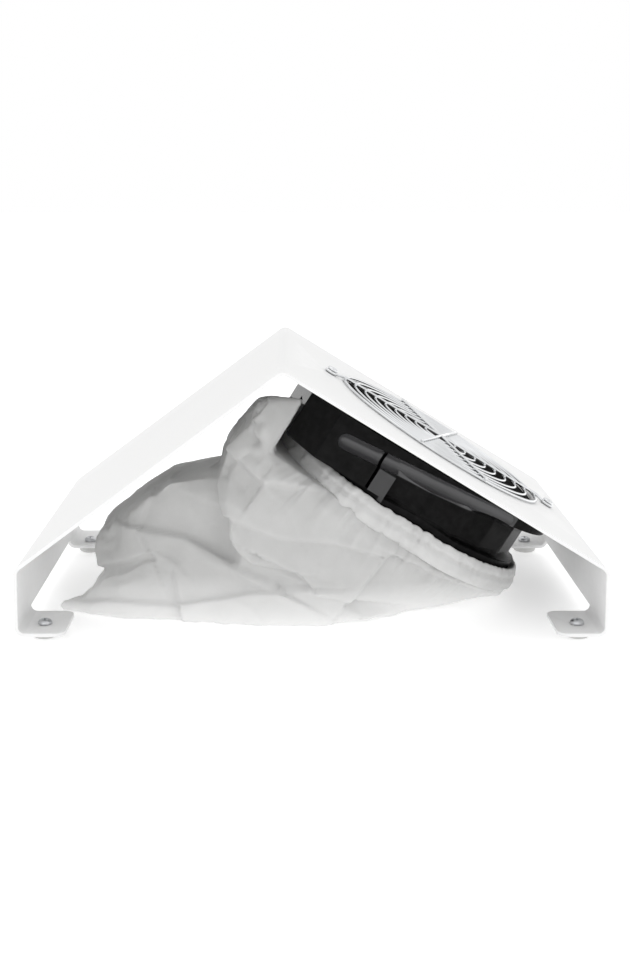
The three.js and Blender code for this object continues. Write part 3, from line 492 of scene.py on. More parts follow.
def cloth(name, dark, light, depth, creased, glow=None):
    """Thin pale bonded cloth with slow creases; glow is a painted light colour for cloth near the
    table.
    """
    material, tree, shader = new_finish(
        name, 0.88, Sheen_Weight=0.25, Sheen_Roughness=0.5, Subsurface_Weight=0.25,
        Subsurface_Scale=0.004,
    )
    shader.inputs["Subsurface Radius"].default_value = (1.0, 1.0, 1.0)
    fabric = place_group(tree, fibre, Fibres=900.0, Clouds=60.0)
    place = object_place(tree)
    colour = two_colours(tree, fabric["Tone"], dark, light)
    if glow:
        # Cloth low down is painted paler: a painted glow of the light from the table.
        height = axes_of(tree, place)["Z"]
        low = number_node(tree, "MULTIPLY_ADD", height, GLOW_FALL, GLOW_START, clamp=True)
        colour = two_colours(tree, low, colour, glow)
    set_sockets(tree, shader, Base_Color=colour)
    rumple = noise_node(tree, place, 45.0, 2, 0.4)
    raised = number_node(tree, "MULTIPLY_ADD", rumple, creased / depth, fabric["Height"])
    bump(tree, shader, raised, depth)
    return material


BAG_CLOTH = cloth(
    "bag_cloth", (0.47, 0.47, 0.465), (0.58, 0.58, 0.575), 0.00008, 0.0012, (0.80, 0.80, 0.795)
)
HEM_CLOTH = cloth("hem_cloth", (0.52, 0.52, 0.515), (0.66, 0.66, 0.655), 0.00010, 0.0008)
print("cloth made")

# %% [markdown]
# ## A maker's few moves
#
# Pieces are drawn in millimetres, one unit to a millimetre, because that is how the parts were
# measured. When a piece is done, it is put in its place and shrunk to metres, and that is written
# into its mesh. The helpers below are the moves that come back for every piece: select, draw a
# line, turn it, cut and soften.

# %% Select and name
def only(piece):
    """Makes this piece the one that is selected and active."""
    bpy.ops.object.select_all(action="DESELECT")
    piece.select_set(True)
    bpy.context.view_layer.objects.active = piece
    return piece


def applied(piece):
    """Writes the piece's own move, turn and scale into its mesh."""
    only(piece)
    bpy.ops.object.transform_apply(location=True, rotation=True, scale=True)
    return piece


def add_piece(name, operator, location=(0, 0, 0), **settings):
    """Adds a primitive while nothing else is selected, names it and applies its transform."""
    bpy.ops.object.select_all(action="DESELECT")
    operator(location=location, **settings)
    piece = bpy.context.object
    piece.name = piece.data.name = name
    return applied(piece)


def edit_mode():
    """Opens the active piece for changes to its mesh."""
    bpy.ops.object.mode_set(mode="EDIT")


def object_mode():
    """Closes it again."""
    bpy.ops.object.mode_set(mode="OBJECT")


def everything():
    """In edit mode, selects the whole mesh."""
    bpy.ops.mesh.select_all(action="SELECT")


def pick(test, kind="FACE"):
    """In edit mode, selects the faces, edges or corners that pass the test and nothing else."""
    bpy.ops.mesh.select_mode(type=kind)
    bpy.ops.mesh.select_all(action="DESELECT")
    shape = bmesh.from_edit_mesh(bpy.context.object.data)
    parts = {"FACE": shape.faces, "EDGE": shape.edges, "VERT": shape.verts}[kind]
    chosen = [part for part in parts if test(part)]
    for part in chosen:
        part.select_set(True)
    bmesh.update_edit_mesh(bpy.context.object.data)
    return len(chosen)


def extrude(x, y, z):
    """Extrudes what is selected by this much."""
    bpy.ops.mesh.extrude_region_move(TRANSFORM_OT_translate={"value": (x, y, z)})


def middle(part):
    """The middle of a face or edge."""
    corners = list(part.verts)
    return sum((corner.co for corner in corners), Vector()) / len(corners)


# %% Draw a line and turn it
WELD = 1e-4  # corners closer than this become one


def draw_line(name, points):
    """A chain of edges: a plane is merged to one corner, which is extruded along the points."""
    piece = add_piece(name, bpy.ops.mesh.primitive_plane_add, size=1)
    edit_mode()
    everything()
    bpy.ops.mesh.merge(type="CENTER")
    points = [Vector(point) for point in points]
    bpy.ops.transform.translate(value=points[0])
    for here, there in zip(points, points[1:]):
        extrude(*(there - here))
    return piece


def spin_round(steps, centre=(0, 0)):
    """Spins the whole mesh once about an upright axis through centre and welds the seam."""
    everything()
    bpy.ops.mesh.spin(steps=steps, angle=2 * math.pi, center=(*centre, 0), axis=(0, 0, 1))
    everything()
    bpy.ops.mesh.remove_doubles(threshold=WELD)
    everything()
    bpy.ops.mesh.normals_make_consistent(inside=False)
    object_mode()


def turned(name, profile, steps=96, ring=True):
    """A round piece from radius and height pairs, spun about Z; a ring's line is closed first."""
    points = [(radius, 0, height) for radius, height in profile]
    if ring:
        points.append(points[0])
    piece = draw_line(name, points)
    everything()
    bpy.ops.mesh.remove_doubles(threshold=WELD)
    spin_round(steps)
    return piece


def quarter(x, z, radius, start, steps=4):
    """Points of a quarter circle, for the rounded corner of a profile; start is its first angle."""
    turns = [math.radians(start + 90 * i / steps) for i in range(steps + 1)]
    return [(x + radius * math.cos(t), z + radius * math.sin(t)) for t in turns]


# %% Block, cut, soften and place
def block(name, x, y, z):
    """A box between two values along each axis."""
    lows, highs = zip(x, y, z)
    centre = [(a + b) / 2 for a, b in zip(lows, highs)]
    sizes = [b - a for a, b in zip(lows, highs)]
    return add_piece(name, bpy.ops.mesh.primitive_cube_add, centre, size=1, scale=sizes)


def round_tool(name, radius, low, high, centre=(0, 0), sides=96):
    """A plain rod to cut or build with."""
    return add_piece(
        name, bpy.ops.mesh.primitive_cylinder_add, (*centre, (low + high) / 2),
        vertices=sides, radius=radius, depth=high - low,
    )


def modified(piece, kind, **settings):
    """Adds a modifier with these settings and applies it."""
    only(piece)
    change = piece.modifiers.new(kind.lower(), kind)
    for setting, value in settings.items():
        setattr(change, setting, value)
    bpy.ops.object.modifier_apply(modifier=change.name)
    return piece


def shape_with(piece, tool, operation):
    """Joins a piece and a tool by a Boolean operation and throws the tool away."""
    modified(piece, "BOOLEAN", operation=operation, solver="EXACT", object=tool)
    bpy.data.objects.remove(tool)
    return piece


def cut(piece, tool):
    """Cuts a tool out of a piece."""
    return shape_with(piece, tool, "DIFFERENCE")


def unite(piece, tool):
    """Makes a tool part of a piece."""
    return shape_with(piece, tool, "UNION")


def soften(piece, width, segments=2, from_angle=30, smooth_to=32):
    """Rounds every edge that is sharper than from_angle, and shades the rest smooth."""
    modified(
        piece, "BEVEL", width=width, segments=segments, limit_method="ANGLE",
        angle_limit=math.radians(from_angle),
    )
    bpy.ops.object.shade_smooth_by_angle(angle=math.radians(smooth_to))
    return piece


def place_piece(piece, place=Matrix()):
    """Puts a piece drawn in millimetres in its place in metres and writes that into its mesh."""
    piece.matrix_world = place @ Matrix.Scale(0.001, 4)
    return applied(piece)


def on_fan(piece):
    """Moves a piece drawn in the fan's own millimetres to the row's millimetres."""
    piece.matrix_world = Matrix.Scale(1000, 4) @ FAN_PLACE @ Matrix.Scale(0.001, 4)
    return applied(piece)


def copied(piece, name, move):
    """A copy with its own mesh, moved by this much."""
    twin = piece.copy()
    twin.data = piece.data.copy()
    twin.name = twin.data.name = name
    bpy.context.scene.collection.objects.link(twin)
    twin.location = move
    return applied(twin)


def joined(parts, name):
    """Joins the parts into the first of them and names it."""
    whole = only(parts[0])
    for part in parts:
        part.select_set(True)
    bpy.ops.object.join()
    whole.name = whole.data.name = name
    return whole


def fit_out(piece, material, slot, body, *nodes):
    """Gives a piece its material and the body it rides on, and hides the measured nodes it stands
    for.
    """
    piece.data.materials.clear()
    piece.data.materials.append(material)
    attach(piece, body)
    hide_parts(*nodes)
    triangles = sum(len(face.vertices) - 2 for face in piece.data.polygons)
    size = [round(x * 1000, 1) for x in piece.dimensions]
    print(f"{piece.name}: {triangles} triangles, {size} mm")
    return piece


# %% [markdown]
# ## The folded sheet
#
# The stand is one piece of 2 mm steel, cut flat, bent six times and powder coated white. It could
# be drawn as a solid outline and extruded, but a bend keeps the same wall all round only when the
# sheet is bent first and thickened after. So a single plane becomes the left slope, its edges are
# extruded into the right slope, the end flanges and the four foot tabs, the folds are rounded, and
# Solidify then gives the sheet its thickness.

# %% Fold the sheet
SHEET = 2.0  # thickness
BEND = 6.0  # outside radius of every fold
HALF_X, HALF_Y = 167.0, 107.5
RIDGE = (-16.0, 156.5)  # where the two slopes would meet, x and z
FOLD_Z = 43.5  # where a slope would meet its end flange
TAB_Z = 4.8  # underside of the foot tabs
SLOT_Z = 10.5  # lower edge of the flanges between the tabs
TAB_REACH = 28.0
TAB_INNER_Y = 68.5
TAB_CORNER = 6.0

left_run = Vector((RIDGE[0] + HALF_X, 0, RIDGE[1] - FOLD_Z))
stand = add_piece("folded_sheet", bpy.ops.mesh.primitive_plane_add, size=1)
stand.location = Vector((-HALF_X, 0, FOLD_Z)) + left_run / 2
stand.rotation_euler.y = -math.atan2(left_run.z, left_run.x)
stand.scale = (left_run.length, 2 * HALF_Y, 1)
applied(stand)
edit_mode()
pick(lambda e: abs(middle(e).x - RIDGE[0]) < 0.1 and abs(middle(e).y) < 1, "EDGE")
extrude(HALF_X - RIDGE[0], 0, FOLD_Z - RIDGE[1])
pick(lambda e: abs(abs(middle(e).x) - HALF_X) < 0.1, "EDGE")
extrude(0, 0, SLOT_Z - FOLD_Z)
for side in (-1, 1):
    everything()
    bpy.ops.mesh.bisect(plane_co=(0, side * TAB_INNER_Y, 0), plane_no=(0, 1, 0))


def tab_edge(height):
    """Finds the lower edges that the foot tabs grow from."""
    return lambda e: abs(middle(e).z - height) < 0.1 and abs(middle(e).y) > TAB_INNER_Y + 1 and (
        abs(e.verts[0].co.z - e.verts[1].co.z) < 0.01
    )


pick(tab_edge(SLOT_Z), "EDGE")
extrude(0, 0, TAB_Z - SLOT_Z)
for side in (-1, 1):
    pick(lambda e: tab_edge(TAB_Z)(e) and side * middle(e).x > HALF_X - 1, "EDGE")
    extrude(-side * TAB_REACH, 0, 0)
print("flat faces of the fold:", len(bmesh.from_edit_mesh(stand.data).faces))

# %% Round the folds and the tab corners
def fold_edges(x, z):
    """Finds the edges along Y at this x and z."""
    return lambda e: (
        abs(abs(middle(e).x) - abs(x)) < 0.1
        and abs(middle(e).z - z) < 0.1
        and abs(e.verts[0].co.y - e.verts[1].co.y) > 1
    )


left_angle = math.atan2(RIDGE[1] - FOLD_Z, HALF_X + RIDGE[0])
right_angle = math.atan2(RIDGE[1] - FOLD_Z, HALF_X - RIDGE[0])
FOLDS = [
    (lambda e: fold_edges(RIDGE[0], RIDGE[1])(e), left_angle + right_angle),
    (lambda e: fold_edges(HALF_X, FOLD_Z)(e) and middle(e).x < 0, math.pi / 2 - left_angle),
    (lambda e: fold_edges(HALF_X, FOLD_Z)(e) and middle(e).x > 0, math.pi / 2 - right_angle),
    (lambda e: fold_edges(HALF_X, TAB_Z)(e), math.pi / 2),
]
for is_fold, bend_angle in FOLDS:
    found = pick(is_fold, "EDGE")
    setback = min(BEND * math.tan(bend_angle / 2), SLOT_Z - TAB_Z - 0.05)
    bpy.ops.mesh.bevel(offset_type="OFFSET", offset=setback, segments=10, affect="EDGES")
    print(found, "fold edges bent by", round(math.degrees(bend_angle), 1), "degrees")
pick(lambda v: abs(v.co.z - TAB_Z) < 0.01 and abs(v.co.x) < HALF_X - TAB_REACH + 1, "VERT")
bpy.ops.mesh.bevel(offset_type="OFFSET", offset=TAB_CORNER, segments=8, affect="VERTICES")
everything()
bpy.ops.mesh.normals_make_consistent(inside=False)
object_mode()

# %% Thicken the sheet and cut its holes
only(stand)
up_faces = [f for f in stand.data.polygons if abs(f.normal.z) > 0.5 and f.center.z > 60]
if up_faces[0].normal.z < 0:
    stand.data.flip_normals()
modified(stand, "SOLIDIFY", thickness=SHEET, offset=-1, use_even_offset=True)

cut(stand, on_fan(round_tool("intake_tool", 70, -8, 6, sides=160)))
for end in (-1, 1):
    cut(stand, on_fan(round_tool("screw_tool", 2.3, -8, 6, (end * SCREW_AT, 0), 32)))
FEET = {
    "near_left": (-152.8, -91.0), "far_left": (-152.8, 80.5),
    "near_right": (152.8, -91.0), "far_right": (152.8, 80.5),
}
for name, centre in FEET.items():
    cut(stand, round_tool("foot_tool", 2.3, 0, 12, centre, 32))
soften(stand, 0.45, segments=3, from_angle=60, smooth_to=30)
place_piece(stand)
fit_out(stand, WHITE_COAT, "white_coat", "stand", "stand_sheet")

# %% [markdown]
# ## Feet and their screws
#
# Each tab stands on a rubber disc that a pan-head screw holds. Both are round, so both start as
# half an outline that is spun about its axis. The cross recess is cut with two crossed bars. One
# foot and one screw are made, and the other three are copies that are moved under their own tabs.

# %% Rubber feet
FOOT_PROFILE = [
    (0.0, 0.0), (6.2, 0.0), *quarter(6.2, 1.4, 1.4, -90), *quarter(6.9, 3.8, 0.7, 0), (0.0, 4.5),
]
foot_start = turned("foot_pad", FOOT_PROFILE, steps=48, ring=False)
well = round_tool("well_tool", 4.4, -1, 3.1, sides=32)
cut(foot_start, well)
cut(foot_start, round_tool("bore_tool", 2.3, -1, 6, sides=24))
soften(foot_start, 0.25, segments=2, from_angle=50)
for name, (x, y) in FEET.items():
    foot_pad = place_piece(copied(foot_start, "foot_pad_" + name, (x, y, 0)))
    fit_out(foot_pad, PALE_RUBBER, "pale_rubber", "stand", "foot_" + name)
bpy.data.objects.remove(foot_start)

# %% Pan-head screws
def pan_screw(name, radius, height, length):
    """A screw whose head stands on z = 0, with a rounded crown and a cross recess."""
    crown = [
        (0.0, -length), (1.6, -length), (2.0, -length + 0.5), (2.0, 0.0), (radius, 0.0),
        (radius, 0.28 * height), (radius * 0.97, 0.5 * height), (radius * 0.86, 0.74 * height),
        (radius * 0.62, 0.92 * height), (radius * 0.3, height), (0.0, height),
    ]
    screw = turned(name, crown, steps=40, ring=False)
    reach, slot = radius * 0.56, radius * 0.13
    for x, y in ((reach, slot), (slot, reach)):
        bar = block("recess_bar", (-x, x), (-y, y), (0.4 * height, height + 1))
        cut(screw, bar)
    return soften(screw, 0.12, segments=2, from_angle=40)


foot_screw_start = pan_screw("foot_screw", 4.0, 2.6, 5.8)
for name, (x, y) in FEET.items():
    foot_screw = place_piece(copied(foot_screw_start, "tab_screw_" + name, (x, y, 7.1)))
    fit_out(foot_screw, ZINC, "zinc", "stand", "foot_screw_" + name)
bpy.data.objects.remove(foot_screw_start)

# %% [markdown]
# ## The fan's casting
#
# A fan of this kind has a die-cast frame painted black: a barrel that flares to a flange above and
# to a rim below, a squared housing at one end for the terminals, a rib on each side, and a long
# groove for the motor leads. Solid modelling suits a casting better than pulling faces, so each
# volume is drawn, all are united, and the bore and grooves are cut. At the end every edge is
# rounded a little, as a mould leaves it, because it is the rounded edges that catch the light on
# black paint.

# %% Barrel, flange, housing and ribs
TOP, FLANGE_Z, RIM_Z, BOTTOM = -7.3, -13.3, -38.0, -45.3
NECK, RIM_R, FLANGE_R, SIDE = 72.0, 79.0, 86.0, 75.0
steps = [math.pi / 2 * i / 8 for i in range(9)]
flare_out = [(RIM_R - (RIM_R - NECK) * math.cos(t), RIM_Z + 8 * (1 - math.sin(t))) for t in steps]
flare_in = [(84 - (84 - NECK) * math.cos(t), FLANGE_Z - 8 * (1 - math.sin(t))) for t in steps]
barrel_line = [(66, BOTTOM), (RIM_R, BOTTOM), *reversed(flare_out), *flare_in, (84, TOP), (66, TOP)]
casting = turned("fan_casting", barrel_line, steps=160)

flange = round_tool("flange", FLANGE_R, FLANGE_Z, TOP, sides=160)
unite(casting, flange)

housing = block("housing", (-90, -37), (-SIDE, SIDE), (RIM_Z, TOP))
edit_mode()
for side in (-1, 1):
    everything()
    bpy.ops.mesh.bisect(
        plane_co=(-71, side * SIDE, 0), plane_no=(-16, side * 19, 0),
        clear_outer=True, use_fill=True,
    )
object_mode()
unite(casting, housing)

# The neck shows flat facets between the flares, so a twenty-sided prism stands just proud of it.
neck = round_tool("neck", 74.2, RIM_Z - 1, FLANGE_Z + 1, sides=20)
neck.rotation_euler.z = math.radians(-1.6)
unite(casting, applied(neck))
for side in (-1, 1):
    rib = block("rib", (-35, -24), sorted((side * 56, side * SIDE)), (RIM_Z, TOP))
    unite(casting, rib)

limits = block("limits", (-120, 120), (-SIDE, SIDE), (BOTTOM - 1, TOP + 1))
shape_with(casting, limits, "INTERSECT")
print("casting faces before the cuts:", len(casting.data.polygons))

# %% Bore, lead grooves, screw ways and the terminal pocket
cut(casting, round_tool("bore_tool", 69, BOTTOM - 1, TOP + 1, sides=160))
for side in (-1, 1):
    groove = add_piece(
        "groove_tool", bpy.ops.mesh.primitive_uv_sphere_add, segments=32, ring_count=16, radius=5
    )
    groove.rotation_euler.y = math.pi / 2
    applied(groove)
    edit_mode()
    pick(lambda v: v.co.x < 0, "VERT")
    bpy.ops.transform.translate(value=(-40, 0, 0))
    pick(lambda v: v.co.x > -0.01, "VERT")
    bpy.ops.transform.translate(value=(66, 0, 0))
    object_mode()
    groove.scale.y = 5.5 / 5
    groove.rotation_euler.y = math.radians(-5.3)
    groove.location = (-20, side * SIDE, -17)
    cut(casting, applied(groove))
for end in (-1, 1):
    cut(casting, round_tool("way_tool", 2.3, BOTTOM - 1, TOP + 1, (end * SCREW_AT, 0), 32))
    cut(casting, round_tool("nut_tool", 5.1, BOTTOM - 1, FLANGE_Z, (end * SCREW_AT, 0), 32))
pocket = block("pocket_tool", (-91, -80.7), (-37.3, -12.7), (-32.3, -19.7))
cut(casting, pocket)
print("casting faces after the cuts:", len(casting.data.polygons))

# %% Motor seat and its arms
SEAT = -41.3
seat = turned("motor_seat", [
    (4.0, BOTTOM + 2.4), (8.9, BOTTOM + 2.4), (8.9, BOTTOM), (30, BOTTOM), (38, BOTTOM),
    (40, BOTTOM + 1.5),
    (40, SEAT), (8.9, SEAT), (8.9, -14.7), (6.3, -14.7), (6.3, SEAT - 2), (4.0, SEAT - 2),
], steps=80)
for turn in range(4):
    arm = block("arm", (36, 71), (-3.5, 3.5), (BOTTOM, SEAT))
    arm.rotation_euler.z = math.radians(45 + 90 * turn)
    unite(seat, applied(arm))
unite(casting, seat)
soften(casting, 0.55, segments=2, from_angle=28, smooth_to=24)
place_piece(casting, FAN_PLACE)
fit_out(casting, BLACK_CASTING, "black_casting", "stand", "fan_frame")

# %% [markdown]
# ## The impeller
#
# The wheel that moves the air is a shallow steel drum with five curved blades riveted to it. A
# blade starts as the arc of its section. It is extruded outwards in short steps, each turned a
# little about the blade's length, which gives the twist, and Solidify makes it sheet metal. A copy
# is turned into each fifth of the circle. The wheel rides on the rotor, so it spins in the guard.

# %% Hub of the impeller
hub = turned("impeller_wheel", [
    (0, -12.4), (41.4, -12.4), (41.4, -38.3), (43.0, -38.3), (43.0, -13.4),
    *quarter(40.4, -13.4, 2.6, 0, 6),
    (30, -10.8), (28.5, -11.5), (9, -11.5), (7.5, -10.8), (0, -10.8),
], steps=96, ring=False)
soften(hub, 0.3, segments=2, from_angle=40)

# %% Blades of the impeller
CHORD, CAMBER, PITCH = 44.0, 60.0, math.radians(32)
half_sweep = CHORD / 2 / CAMBER
section = []
for i in range(13):
    t = half_sweep * (2 * i / 12 - 1)
    along, lift = CAMBER * math.sin(t), CAMBER * (math.cos(t) - 1)
    section.append((
        40.0,
        along * math.cos(PITCH) - lift * math.sin(PITCH),
        along * math.sin(PITCH) + lift * math.cos(PITCH),
    ))
blade_start = draw_line("blade", section)
everything()
for i in range(7):
    extrude(4.2, 0, 0)
    bpy.ops.transform.rotate(value=math.radians(1.2), orient_axis="X", center_override=(0, 0, 0))
everything()
bpy.ops.transform.translate(value=(0, 0, -24.5))
object_mode()
modified(blade_start, "SOLIDIFY", thickness=1.8, offset=0)
sweep = turned("sweep", [(41.6, -38.2), (67.2, -38.2), (67.2, -11.0), (41.6, -11.0)], steps=96)
shape_with(blade_start, sweep, "INTERSECT")
soften(blade_start, 0.4, segments=2, from_angle=40)

wheel = [hub]
for i in range(5):
    blade = copied(blade_start, f"blade_{i}", (0, 0, 0))
    blade.rotation_euler.z = 2 * math.pi * i / 5
    wheel.append(applied(blade))
bpy.data.objects.remove(blade_start)
place_piece(joined(wheel, "impeller_wheel"), FAN_PLACE)
fit_out(hub, IMPELLER_BLACK, "impeller_black", "rotor", "impeller")

# %% [markdown]
# ## The finger guard
#
# The guard is bright wire: nine rings lie on the sheet under three straight rods. The longest rod
# bends down at both ends to an eyelet for a screw. A wire is a small circle that travels. Spun
# about the fan's axis it makes a ring, and extruded it makes a rod. Each weld is a flattened bead
# where a rod crosses a ring.

# %% Wires of the guard
ROD, RING, WIRE_SIDES = 0.95, 0.85, 12  # radii of the wires
RING_Z, ROD_Z, EYELET_Z = 1.15, 2.65, 1.25  # heights of their middles over the slope
BEND_AT, EYELET_START = 71.85, 77.6  # from the fan's axis


def wire_ring(name, radius, wire, height, steps, centre=(0, 0)):
    """A circle of wire, spun about a vertical axis through centre."""
    ring = add_piece(
        name, bpy.ops.mesh.primitive_circle_add, (centre[0] + radius, centre[1], height),
        vertices=WIRE_SIDES, radius=wire, rotation=(math.pi / 2, 0, 0),
    )
    edit_mode()
    spin_round(steps, centre)
    return ring


def wire_rod(name, half_length, angle):
    """A straight wire through the fan's axis, with rounded ends."""
    rod = add_piece(
        name, bpy.ops.mesh.primitive_cylinder_add, (0, 0, ROD_Z),
        vertices=WIRE_SIDES, radius=ROD, depth=2 * half_length, rotation=(0, math.pi / 2, angle),
    )
    return soften(rod, 0.45, segments=3, from_angle=60)


def wire_link(name, end):
    """The bent end of the long rod: a short wire from the bend down to the eyelet."""
    start = Vector((end * BEND_AT, 0, ROD_Z))
    stop = Vector((end * EYELET_START, 0, EYELET_Z))
    return add_piece(
        name, bpy.ops.mesh.primitive_cylinder_add, (start + stop) / 2,
        vertices=WIRE_SIDES, radius=ROD, depth=(stop - start).length,
        rotation=(stop - start).to_track_quat("Z", "Y").to_euler(),
    )


RING_RADII = [71 - 7.5 * i for i in range(9)]
ROD_ANGLES = (0.0, math.radians(72.3), math.radians(-72.3))
guard_parts = [wire_ring("ring", r, RING, RING_Z, 40 + round(r * 1.6)) for r in RING_RADII]
guard_parts.append(wire_rod("rod", BEND_AT, ROD_ANGLES[0]))
guard_parts += [wire_link("link", end) for end in (-1, 1)]
guard_parts += [wire_rod("rod", 73, angle) for angle in ROD_ANGLES[1:]]
guard_parts += [
    wire_ring("eyelet", 3.4, ROD, EYELET_Z, 32, (end * SCREW_AT, 0)) for end in (-1, 1)
]
print(len(guard_parts), "wires")

# %% Weld beads and the whole guard
bead = add_piece("bead", bpy.ops.mesh.primitive_ico_sphere_add, subdivisions=2, radius=1.25)
bead.scale = (1, 1, 0.75)
applied(bead)
bpy.ops.object.shade_smooth()
for radius in RING_RADII:
    for angle in ROD_ANGLES:
        for way in (-1, 1):
            x, y = way * radius * math.cos(angle), way * radius * math.sin(angle)
            guard_parts.append(copied(bead, "bead", (x, y, (ROD_Z + RING_Z) / 2)))
for end in (-1, 1):
    guard_parts.append(copied(bead, "bead", (end * EYELET_START, 0, EYELET_Z)))
    guard_parts.append(copied(bead, "bead", (end * BEND_AT, 0, ROD_Z)))
bpy.data.objects.remove(bead)
guard = joined(guard_parts, "wire_guard")
bpy.ops.object.shade_smooth_by_angle(angle=math.radians(40))
place_piece(guard, FAN_PLACE)
fit_out(guard, GUARD_CHROME, "guard_chrome", "stand", "finger_guard")

# %% Guard screws
guard_screw_start = pan_screw("guard_screw", 3.6, 1.8, 21.5)
for name, end in (("upper", -1), ("lower", 1)):
    guard_screw = copied(guard_screw_start, "fan_screw_" + name, (end * SCREW_AT, 0, 2.5))
    place_piece(guard_screw, FAN_PLACE)
    fit_out(guard_screw, GUARD_CHROME, "guard_chrome", "stand", "guard_screw_" + name)
bpy.data.objects.remove(guard_screw_start)

# %% [markdown]
# ## The gathered hem
#
# The mouth of the bag is a casing sewn round an elastic, which pulls the cloth into many small
# gathers under the fan's rim. A torus gives the closed band. Its points are then led round the
# rim's outline, and each point is moved by two things: a soft regular pleat from the elastic, and
# noise, because no two gathers are alike. A row of stitching presses a groove into the outer face.

# %% Keep clear of the table and the sheet
def slope_limit(side):
    """A point on a slope's lower face and the direction into the stand."""
    end = Vector((side * HALF_X, 0, FOLD_Z))
    top = Vector((RIDGE[0], 0, RIDGE[1]))
    run = (top - end).normalized()
    inward = Vector((run.z, 0, -run.x)) if side < 0 else Vector((-run.z, 0, run.x))
    if inward.z > 0:
        inward = -inward
    return (end + inward * (SHEET + 1.5)) / 1000, inward


LIMITS = [(Vector((0, 0, 0.0006)), Vector((0, 0, 1))), slope_limit(-1), slope_limit(1)]
LIMITS += [(Vector((side * 0.1615, 0, 0)), Vector((-side, 0, 0))) for side in (-1, 1)]


def keep_in(point):
    """The nearest allowed place for a point of the cloth."""
    for place, inward in LIMITS:
        depth = (point - place).dot(inward)
        if depth < 0:
            point = point - inward * depth
    return point


print(len(LIMITS), "planes that the cloth stays within")

# %% Lead a band round the rim
HEM_TOP, HEM_LOW = -40.6, -56.0  # from the slope, in millimetres
HEM_LIP = -40.4  # no ruffle comes higher
RIM_OUT, RIM_FLAT = 80.0, 76.0


def rim_point(turn, out):
    """A point out mm from the rim's outline at this angle."""
    x, y = math.cos(turn), math.sin(turn)
    reach = min(RIM_OUT, RIM_FLAT / max(abs(y), 1e-6))
    flat = RIM_FLAT / max(abs(y), 1e-6) < RIM_OUT
    away = Vector((0, math.copysign(1, y))) if flat else Vector((x, y))
    return Vector((x * reach, y * reach)) + away * out


def gather(turn, height):
    """How far the pleats stand out here; height goes from 0 at the lower edge to 1 at the lip."""
    place = Vector((math.cos(turn), math.sin(turn), height * 0.06))
    wander = 2.2 * noise.noise(place * 3.0)
    pleat = math.sin(turn * 64 + 11 * wander)
    rough = noise.noise(place * 20.0 + Vector((5, 0, 0)))
    small = noise.noise(place * 44.0 + Vector((0, 7, 0)))
    fullness = 0.45 + 0.55 * math.sin(turn * 5 + wander) ** 2
    return (0.8 * pleat + 1.9 * rough + 0.9 * small) * fullness


hem = add_piece(
    "gathered_hem", bpy.ops.mesh.primitive_torus_add,
    major_segments=900, minor_segments=26, major_radius=RIM_OUT, minor_radius=3,
)
for point in hem.data.vertices:
    turn = math.atan2(point.co.y, point.co.x)
    across = math.hypot(point.co.x, point.co.y) - RIM_OUT
    swing = math.atan2(point.co.z, across)
    lift = math.sin(swing)
    height = 0.5 + 0.5 * lift
    face = max(0.0, math.cos(swing))
    bulge = 1.7 + 1.9 * face ** 0.6 * (1 - 0.35 * max(0.0, lift))
    skirt = 4.5 * max(0.0, 0.55 - height) ** 1.5 * face ** 0.5
    thickness = 2.2 + bulge * math.cos(swing) + skirt
    stitch = 1.3 * math.exp(-(((height - 0.62) / 0.06) ** 2)) * face
    folds = gather(turn, height) * (0.2 + 0.6 * face + 0.3 * height)
    flat_place = rim_point(turn, max(0.9, thickness + folds - stitch))
    ruffle = 1.8 * noise.noise(Vector((math.cos(turn), math.sin(turn), 0)) * 22) * height
    point.co = (*flat_place, min(HEM_LIP, HEM_LOW + (HEM_TOP - HEM_LOW) * height + ruffle))
bpy.ops.object.shade_smooth()
place_piece(hem, FAN_PLACE)
for point in hem.data.vertices:
    point.co = keep_in(point.co)
fit_out(hem, HEM_CLOTH, "bag_cloth", "stand", "bag_hem", "bag_elastic")

# %% [markdown]
# ## The dust bag
#
# The bag is one piece of thin bonded cloth, half full of air, that slumps on the table under the
# ridge. Slack cloth is flat between the points that hold it up, so the bag starts as a few pillows,
# each stretched tight over its own high and low points. They are remeshed into one skin, the fan's
# room is taken out of it, and Blender's Cloth then tries to fit slightly too much fabric on that
# shape. The spare fabric buckles into folds, as it does in a real bag. A cap on how far a point may
# move keeps the bag in its own space.

